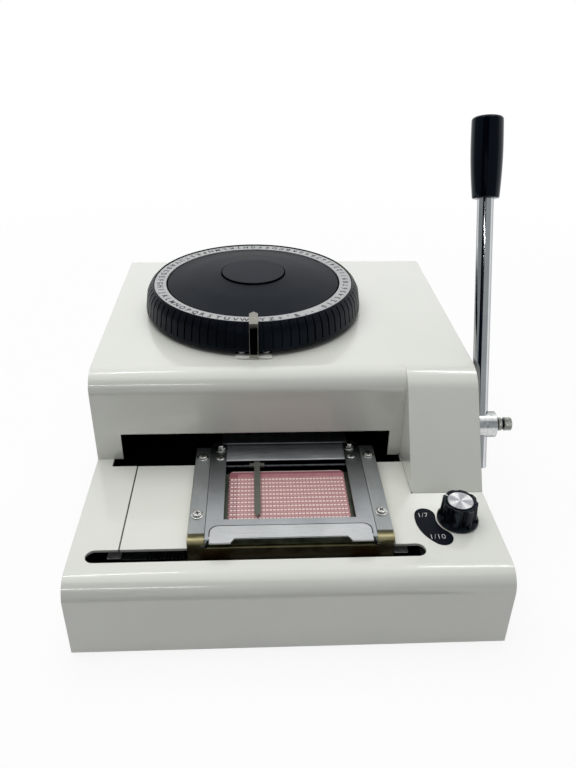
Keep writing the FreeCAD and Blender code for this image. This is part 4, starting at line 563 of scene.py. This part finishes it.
finishes = {
    enamel: ["base_cover"],
    coverEnamelWithShade: ["upper_cover"],
    plateEnamelWithShade: ["deck_plate"],
    zincSteel: ["bottom_plate", "rear_slider", "lever_bracket", "top_bridge", "lower_bridge",
                "upper_link", "lower_link"],
    bracketSteelLitAndShaded: ["rack_brackets"],
    rackSteel: ["spacing_rack"],
    blackSteel: ["frame_left", "frame_right", "upper_guide_bar", "lower_guide_bar",
                 "upper_type_wheel", "lower_type_wheel", "dial_detent"],
    typeSteel: ["upper_types", "lower_types", "upper_plunger", "lower_plunger",
                "carriage_pawl"],
    footRubber: ["rubber_feet"],
    bronze: ["spindle_bushes", "front_sliders"],
    chrome: ["front_rail", "rear_rail", "spindle", "main_shaft", "lever_rod", "upper_cam_shaft",
             "lower_cam_shaft", "knob_shaft"],
    castChrome: ["lever_hub"],
    rodSteel: ["pointer_rod"],
    satinNickel: ["grid_pointer"],
    pointerSteel(): ["dial_pointer"],
    rimPlastic: ["dial_rim"],
    discPlastic("dial_disc", "#0B0E13", "#0F1318"): ["dial_disc"],
    discPlastic("dial_cap", "#101419", "#14181E"): ["dial_cap"],
    ringLacquer: ["scale_ring"],
    gripPlastic: ["lever_grip"],
    knobPlastic: ["selector_knob"],
    capSpun(): ["knob_cap"],
    labelVinyl: ["selector_label"],
    goldZinc: ["carriage_bracket"],
    trayZinc: ["grid_tray"],
    stripSteel: ["side_strips", "card_jaw"],
    frameSteel: ["clamp_frame"],
    crossSteel: ["rear_bar"],
    lipSteel: ["clamp_lip"],
    whiteNylon: ["lip_pins"],
    screwSteel: ["strip_screws", "frame_screws", "pointer_screws", "thumb_screw"],
    printedCard(): ["position_card"],
}
for material, names in finishes.items():
    for name in names:
        nodes[name].data.materials.clear()
        nodes[name].data.materials.append(material)


def secondFinish(name, material, isThere):
    # the faces whose middle, in the maker's frame, and normal pass the test get another finish
    mesh = nodes[name].data
    mesh.materials.append(material)
    for face in mesh.polygons:
        if isThere(inMaker(face.center), face.normal):
            face.material_index = 1


def primeAndShadeInside(name, isInside):
    # the inner faces of a sheet have only primer, whose near-black tone is partly painted shade; a
    # fold's outer bend keeps the top coat
    secondFinish(name, primerWithPaintedShade, lambda p, n: isInside(p, n) and not (n.y < -0.01 and n.z > 0.01))


inside = {"skin": 1.5, "mouthRear": 133, "columnLeft": 93, "columnRear": 150, "frameStep": 66}
bodyLow, bodyHigh = boxOf("base_cover")
coverLow, coverHigh = boxOf("upper_cover")
skin = inside["skin"]
# the covers' inner faces take the near-black primer, partly painted shade for their unlit inside
primeAndShadeInside("base_cover", lambda p, n: bodyLow.x + skin < p.x < bodyHigh.x - skin
            and skin < p.y < bodyHigh.y - skin and p.z < bodyHigh.z - skin)
primeAndShadeInside("upper_cover", lambda p, n: coverLow.x + skin < p.x < coverHigh.x - skin
            and p.y < coverHigh.y - skin and p.z < coverHigh.z - skin
            and (n.z < -0.2 or n.y > 0.2 or p.y > inside["mouthRear"] or abs(n.x) > 0.9)
            and not (n.x < -0.9 and p.x < inside["columnLeft"] and p.y < inside["columnRear"]))
# painted shade: the clamp frame's front face below its step takes the near-black primer
primeAndShadeInside("clamp_frame", lambda p, n: n.y < -0.9 and p.z < inside["frameStep"])
# painted shade in the gaps: the plate's underside, cut sides and rear face take the near-black
# primer
primeAndShadeInside("deck_plate", lambda p, n: n.z < -0.5 or abs(n.x) > 0.9 or n.y > 0.9)

pointerLowest = boxOf("dial_pointer")[0]
pointerX = middleOf("dial_pointer").x
secondFinish("dial_pointer", footEnamelAndPaintedShade(),
             lambda p, n: p.z < pointerLowest.z + pointerFoot["height"]
             and not (n.y < -0.5 and abs(p.x - pointerX) < pointerFoot["bareHalf"]))

# The rounds are drawn smooth and the corners stay sharp.
cadFaces = {"weld": 0.001, "sharpest": 32, "weight": 50}
for cadNode in nodes.values():
    cadNode.data.polygons.foreach_set("use_smooth", [True] * len(cadNode.data.polygons))
    weld = cadNode.modifiers.new("weld", "WELD")
    weld.merge_threshold = cadFaces["weld"] * mm
    split = cadNode.modifiers.new("corners", "EDGE_SPLIT")
    split.split_angle = math.radians(cadFaces["sharpest"])
    weights = cadNode.modifiers.new("weights", "WEIGHTED_NORMAL")
    weights.weight = cadFaces["weight"]
unclad = [name for name, cadNode in nodes.items() if not cadNode.data.materials
          or cadNode.data.materials[0] not in finishes]
print("finishes are on the frame; without one:", unclad)


def onlyPick(piece):
    bpy.ops.object.select_all(action="DESELECT")
    piece.select_set(True)
    bpy.context.view_layer.objects.active = piece


def applied(piece, kind, **settings):
    # a modifier, set and applied at once
    onlyPick(piece)
    modifier = piece.modifiers.new(kind.lower(), kind)
    for name, value in settings.items():
        setattr(modifier, name, value)
    bpy.ops.object.modifier_apply(modifier=modifier.name)


def deselected(piece, kind):
    # leaves the piece in object mode with none of its faces or points picked
    onlyPick(piece)
    bpy.ops.object.mode_set(mode="EDIT")
    bpy.ops.mesh.select_mode(type=kind)
    bpy.ops.mesh.select_all(action="DESELECT")
    bpy.ops.object.mode_set(mode="OBJECT")


def pickFaces(piece, test):
    # goes into edit mode with the faces picked whose middle, in mm, and normal pass the test
    deselected(piece, "FACE")
    for face in piece.data.polygons:
        face.select = test(face.center / mm, face.normal)
    bpy.ops.object.mode_set(mode="EDIT")


def resizePoints(piece, test, factor, middle=(0, 0, 0)):
    # draws the points that pass the test, in mm, in towards an upright axis, or out from it
    deselected(piece, "VERT")
    for point in piece.data.vertices:
        point.select = test(point.co / mm)
    bpy.ops.object.mode_set(mode="EDIT")
    bpy.ops.transform.resize(value=(factor, factor, 1), center_override=middle)
    bpy.ops.object.mode_set(mode="OBJECT")


def upright(radius, low, high, count):
    # a cylinder on the upright axis, to be shaped further
    bpy.ops.object.select_all(action="DESELECT")
    bpy.ops.mesh.primitive_cylinder_add(vertices=count, radius=radius * mm,
                                        depth=(high - low) * mm,
                                        location=(0, 0, (low + high) / 2 * mm))
    bpy.ops.object.transform_apply(location=True, rotation=False, scale=False)
    return bpy.context.object


def roundEnd(piece, top, offset, steps):
    # rounds the rim of the upper or the lower end face
    pickFaces(piece, lambda p, n: n.z > 0.99 if top else n.z < -0.99)
    bpy.ops.mesh.bevel(offset=offset * mm, segments=steps, affect="EDGES")
    bpy.ops.object.mode_set(mode="OBJECT")


def pushed(distance):
    # extrudes the picked faces along the upright axis, by mm
    bpy.ops.mesh.extrude_region_move(TRANSFORM_OT_translate={"value": (0, 0, distance * mm)})


def cutAcross(piece, heights):
    onlyPick(piece)
    bpy.ops.object.mode_set(mode="EDIT")
    for height in heights:
        bpy.ops.mesh.select_all(action="SELECT")
        bpy.ops.mesh.bisect(plane_co=(0, 0, height * mm), plane_no=(0, 0, 1))
    bpy.ops.object.mode_set(mode="OBJECT")


def copyTo(piece, place, turn=0):
    # a copy with a mesh of its own, put at a place in mm and turned about the upright axis
    copied = newObject(piece.name, piece.data.copy())
    copied.matrix_world = moved(place) @ turned(math.radians(turn), "Z")
    return copied


def joined(pieces):
    onlyPick(pieces[0])
    for piece in pieces:
        piece.select_set(True)
    bpy.ops.object.join()
    return bpy.context.object


def finished(piece, name, material, body, smooth=35):
    # the place goes into the mesh, and the piece gets its name, its body and, if one is given,
    # its finish
    onlyPick(piece)
    bpy.ops.object.transform_apply(location=True, rotation=True, scale=True)
    bpy.ops.object.shade_smooth_by_angle(angle=math.radians(smooth))
    piece.name = piece.data.name = name
    if material:
        piece.data.materials.clear()
        piece.data.materials.append(material)
    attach(piece, body)
    return piece


def dropped(*pieces):
    for piece in pieces:
        bpy.data.objects.remove(piece)


# Cross-head pan screws with plain washers, and the studs with their nuts
screw = {"radius": 3.3, "height": 1.7, "round": 0.8, "sides": 40, "recessLong": 3.6,
         "recessWide": 0.8, "recessDeep": 0.9, "washer": 4.3, "washerWall": 0.6,
         "washerRound": 0.15, "nut": 3.2, "nutWall": 1.9, "nutRound": 0.25, "stud": 2.1,
         "studSides": 24, "studHeight": 4.5, "studRound": 0.3, "pitch": 0.6, "thread": 0.86,
         "inset": 3.3, "head": 2.8}

panHead = upright(screw["radius"], 0, screw["height"], screw["sides"])
roundEnd(panHead, True, screw["round"], 5)
for turn in (0, 90):
    bpy.ops.object.select_all(action="DESELECT")
    bpy.ops.mesh.primitive_cube_add(size=mm, location=(0, 0, screw["height"] * mm))
    cutter = bpy.context.object
    cutter.scale = (screw["recessLong"], screw["recessWide"], 2 * screw["recessDeep"])
    cutter.rotation_euler.z = math.radians(turn)
    applied(panHead, "BOOLEAN", object=cutter, operation="DIFFERENCE", solver="EXACT")
    dropped(cutter)
# the screw steel, and painted shade for the walls and floor of the recess
for finish in (screwSteel, recessShadeSteel):
    panHead.data.materials.append(finish)
for face in panHead.data.polygons:
    spot = face.center / mm
    if 0.1 < spot.z < screw["height"] - 0.05 and spot.xy.length < screw["recessLong"] / 1.6:
        face.material_index = 1  # the walls and the floor of the recess

washer = upright(screw["washer"], 0, screw["washerWall"], screw["sides"])
roundEnd(washer, True, screw["washerRound"], 2)
nut = upright(screw["nut"], 0, screw["nutWall"], 6)
roundEnd(nut, True, screw["nutRound"], 2)
stud = upright(screw["stud"], 0, screw["studHeight"], screw["studSides"])
halfTurns = int(2 * screw["studHeight"] / screw["pitch"])
cutAcross(stud, [step * screw["pitch"] / 2 for step in range(1, halfTurns)])
resizePoints(stud, lambda p: round(2 * p.z / screw["pitch"]) % 2 == 1
             and 0 < p.z < screw["studHeight"], screw["thread"])
roundEnd(stud, True, screw["studRound"], 2)
for part in (washer, nut, stud):
    part.data.materials.append(screwSteel)

stripLow, stripHigh = boxOf("strip_screws")
corners = [(x, y) for x in (stripLow.x + screw["inset"], stripHigh.x - screw["inset"])
           for y in (stripLow.y + screw["inset"], stripHigh.y - screw["inset"])]
stripParts = []
for place, turn in zip(corners, (12, 55, 38, 80)):
    stripParts.append(copyTo(washer, (*place, stripLow.z)))
    stripParts.append(copyTo(panHead, (*place, stripLow.z + screw["washerWall"]), turn))
stripFixings = finished(joined(stripParts), "stripFixings", None, "carriage")
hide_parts("strip_screws")

frameLow, frameHigh = boxOf("frame_screws")
frameParts = []
for x, turn in ((frameLow.x + screw["inset"], 20), (frameHigh.x - screw["inset"], 65)):
    rear = (x, frameHigh.y - screw["inset"])
    frameParts.append(copyTo(panHead, (x, frameLow.y + screw["head"], frameLow.z), turn))
    frameParts.append(copyTo(washer, (*rear, frameLow.z)))
    frameParts.append(copyTo(nut, (*rear, frameLow.z + screw["washerWall"]), turn))
    frameParts.append(copyTo(stud, (*rear, frameLow.z)))
frameFixings = finished(joined(frameParts), "frameFixings", None, "card_frame")
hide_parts("frame_screws")

pointerLow, pointerHigh = boxOf("pointer_screws")
pointerY = middleOf("pointer_screws").y
pointerParts = [copyTo(panHead, (x, pointerY, pointerLow.z), turn) for x, turn in
                ((pointerLow.x + screw["head"], 30), (pointerHigh.x - screw["head"], 70))]
pointerFixings = finished(joined(pointerParts), "pointerFixings", None, "body")
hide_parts("pointer_screws")
dropped(panHead, washer, nut, stud)
print("screws, washers, studs and nuts are made")

# Lever grip: one smooth barrel, nearly flat on top
grip = {"length": 59.05, "foot": 10.0, "belly": 11.9, "bellyAt": 36.0, "top": 11.6, "rings": 12,
        "sides": 64, "footCurve": 1.7, "topCurve": 2, "topRound": 2.4, "footRound": 1.0,
        "start": 172.4}
lever = {"lean": 23.0, "x": middleOf("lever_rod").x, "y": middleOf("lever_hub").y,
         "z": middleOf("lever_hub").z, "hubEnd": boxOf("lever_hub")[1].x}


def gripRadius(height):
    if height < grip["bellyAt"]:
        share = 1 - height / grip["bellyAt"]
        return grip["belly"] - (grip["belly"] - grip["foot"]) * share ** grip["footCurve"]
    share = (height - grip["bellyAt"]) / (grip["length"] - grip["bellyAt"])
    return grip["belly"] - (grip["belly"] - grip["top"]) * share ** grip["topCurve"]


barrel = upright(grip["belly"], 0, grip["length"], grip["sides"])
levels = [grip["length"] * ring / grip["rings"] for ring in range(grip["rings"] + 1)]
cutAcross(barrel, levels[1:-1])
for level in levels:
    resizePoints(barrel, lambda p: abs(p.z - level) < 0.01, gripRadius(level) / grip["belly"])
roundEnd(barrel, True, grip["topRound"], 8)
roundEnd(barrel, False, grip["footRound"], 3)
lean = turned(-math.radians(lever["lean"]), "X")
barrel.matrix_world = (moved((lever["x"], lever["y"], lever["z"])) @ lean
                       @ Matrix.Translation((0, 0, grip["start"] * mm)))
finished(barrel, "handGrip", gripPlastic, "lever")
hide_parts("lever_grip")

# Thumb screw: two knurled bands with a neck between them, on a short stud
thumb = {"collar": 2.8, "inner": 2.9, "groove": 1.6, "outer": 6.0, "radius": 5.2, "teeth": 36,
         "cut": 0.94, "chamfer": 0.5, "chamferIn": 0.88, "collarRadius": 4.6, "collarRound": 0.3,
         "grooveRadius": 3.9, "grooveRound": 0.2, "grooveSides": 32, "studRadius": 3.0,
         "studLength": 4.6, "studRound": 0.4, "studSides": 24, "dish": 1.4, "dishDepth": 0.4}


def knurledBand(low, length):
    teeth = thumb["teeth"]
    band = upright(thumb["radius"], low + thumb["chamfer"], low + length - thumb["chamfer"],
                   2 * teeth)
    resizePoints(band, lambda p: round(math.atan2(p.y, p.x) / math.pi * teeth) % 2 == 0,
                 thumb["cut"])
    for side in (1, -1):
        pickFaces(band, lambda p, n: n.z * side > 0.99)
        pushed(side * thumb["chamfer"])
        bpy.ops.transform.resize(value=(thumb["chamferIn"], thumb["chamferIn"], 1),
                                 center_override=(0, 0, 0))
        bpy.ops.object.mode_set(mode="OBJECT")
    return band


grooveLow = thumb["collar"] + thumb["inner"]
outerLow = grooveLow + thumb["groove"]
outerBand = knurledBand(outerLow, thumb["outer"])
pickFaces(outerBand, lambda p, n: n.z > 0.99)
bpy.ops.mesh.inset(thickness=thumb["dish"] * mm)
pushed(-thumb["dishDepth"])
bpy.ops.object.mode_set(mode="OBJECT")
collar = upright(thumb["collarRadius"], 0, thumb["collar"], 6)
roundEnd(collar, False, thumb["collarRound"], 2)
neck = upright(thumb["grooveRadius"], grooveLow, outerLow, thumb["grooveSides"])
roundEnd(neck, True, thumb["grooveRound"], 2)
shank = upright(thumb["studRadius"], -thumb["studLength"], 0, thumb["studSides"])
roundEnd(shank, False, thumb["studRound"], 2)
innerBand = knurledBand(thumb["collar"], thumb["inner"])
for part, steel in ((innerBand, knurledSteel), (outerBand, knurledSteel), (collar, blackSteel),
                    (neck, blackSteel), (shank, blackSteel)):
    part.data.materials.append(steel)
thumbKnob = joined([innerBand, collar, neck, outerBand, shank])
thumbKnob.matrix_world = (moved((lever["hubEnd"], lever["y"], lever["z"])) @ lean
                          @ turned(math.pi / 2, "Y"))
finished(thumbKnob, "thumbKnob", None, "lever", 20)
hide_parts("thumb_screw")
print("grip and thumb screw are made")

lettering = {"thick": 0.05, "proud": 0.04, "fineness": 2}


def printed(words, size, place, bold, turn=0, width=None):
    # one line of characters as a thin closed mesh, its foot line at the place
    bpy.ops.object.select_all(action="DESELECT")
    bpy.ops.object.text_add(location=(0, 0, 0))
    line = bpy.context.object
    line.data.body = words
    line.data.size = size * mm
    line.data.align_x = "CENTER"
    line.data.extrude = lettering["thick"] * mm
    line.data.offset = bold * mm
    line.data.resolution_u = lettering["fineness"]
    bpy.ops.object.convert(target="MESH")
    line = bpy.context.object
    across = width * mm / line.dimensions.x if width else 1
    line.matrix_world = (moved(place) @ turned(math.radians(turn), "Z")
                         @ Matrix.Diagonal((across, across, 1, 1)))
    return line


# The dial's ring has a character every five degrees, with its foot outwards.
ring = {"characters": "ABCDEFGHIJKLMNOPQRSTUVWXYZ+'&,-.0123456789/1234567890ABCDEFGHJKLMNPRSTUV",
        "atPointer": 23, "footRadius": 82.1, "size": 6.8, "bold": 0.13}

ringTop = boxOf("scale_ring")[1].z + lettering["proud"]
ringMiddle = middleOf("scale_ring")
characters = []
for index, character in enumerate(ring["characters"]):
    angle = -90 + (index - ring["atPointer"]) * 360 / len(ring["characters"])
    foot = (ringMiddle.x + ring["footRadius"] * math.cos(math.radians(angle)),
            ringMiddle.y + ring["footRadius"] * math.sin(math.radians(angle)), ringTop)
    characters.append(printed(character, ring["size"], foot, ring["bold"], angle + 90))
finished(joined(characters), "ringCharacters", slateInk, "dial")

# The selector's two settings, each with the place of its foot and its width
label = {"size": 5.2, "bold": -0.1, "settings": (("1/7", (95.3, 57.9), 6.3),
                                                 ("1/10", (101.0, 36.1), 9.85))}

labelTop = boxOf("selector_label")[1].z + lettering["proud"]
numbers = [printed(words, label["size"], (*foot, labelTop), label["bold"], width=width)
           for words, foot, width in label["settings"]]
finished(joined(numbers), "selectorNumbers", whiteInk, "body")

# The knob's fluted body, which stands out nearly as far as its skirt, and the white line on it
knob = {"skirt": 3.4, "flare": 1.12, "weld": 0.001, "smooth": 32, "lineTurn": 141.0,
        "lineInner": 9.3, "lineOuter": 11.4, "lineWidth": 0.9, "lineWall": 0.16,
        "lineRound": 0.07}

knobLow, knobHigh = boxOf("selector_knob")
knobMiddle = middleOf("selector_knob")
knobBody = newObject("knobBody", nodes["selector_knob"].data.copy())
onlyPick(knobBody)
bpy.ops.object.mode_set(mode="EDIT")
bpy.ops.mesh.select_all(action="SELECT")
bpy.ops.mesh.remove_doubles(threshold=knob["weld"] * mm)
bpy.ops.object.mode_set(mode="OBJECT")
skirtTop = at(0, 0, knobLow.z + knob["skirt"]).z / mm
resizePoints(knobBody, lambda p: p.z > skirtTop, knob["flare"], at(knobMiddle.x, knobMiddle.y, 0))
finished(knobBody, "knobBody", knobPlastic, "knob", knob["smooth"])
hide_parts("selector_knob")

bpy.ops.object.select_all(action="DESELECT")
bpy.ops.mesh.primitive_cube_add(size=mm, location=(0, 0, 0))
pointLine = bpy.context.object
pointLine.scale = (knob["lineOuter"] - knob["lineInner"], knob["lineWidth"], knob["lineWall"])
pointLine.location.x = (knob["lineOuter"] + knob["lineInner"]) / 2 * mm
bpy.ops.object.transform_apply(location=True, rotation=True, scale=True)
applied(pointLine, "BEVEL", width=knob["lineRound"] * mm, segments=2)
pointLine.matrix_world = (moved((knobMiddle.x, knobMiddle.y, knobHigh.z))
                          @ turned(math.radians(knob["lineTurn"]), "Z"))
finished(pointLine, "knobIndexLine", whiteInk, "knob")
print("ring characters, settings, knob and its line are made")

# Spring clips that hold the pointer rod inside the carriage's uprights
clip = {"ring": 1.45, "wire": 0.4, "ringSides": 28, "wireSides": 10, "inset": 13.0}

rodLow, rodHigh = boxOf("pointer_rod")
rodMiddle = middleOf("pointer_rod")
clips = []
for x in (rodLow.x + clip["inset"], rodHigh.x - clip["inset"]):
    bpy.ops.object.select_all(action="DESELECT")
    bpy.ops.mesh.primitive_torus_add(major_radius=clip["ring"] * mm,
                                     minor_radius=clip["wire"] * mm,
                                     major_segments=clip["ringSides"],
                                     minor_segments=clip["wireSides"])
    loop = bpy.context.object
    loop.matrix_world = moved((x, rodMiddle.y, rodMiddle.z)) @ turned(math.pi / 2, "Y")
    clips.append(loop)
rodClips = finished(joined(clips), "rodClips", screwSteel, "carriage")
print("rod clips are made")
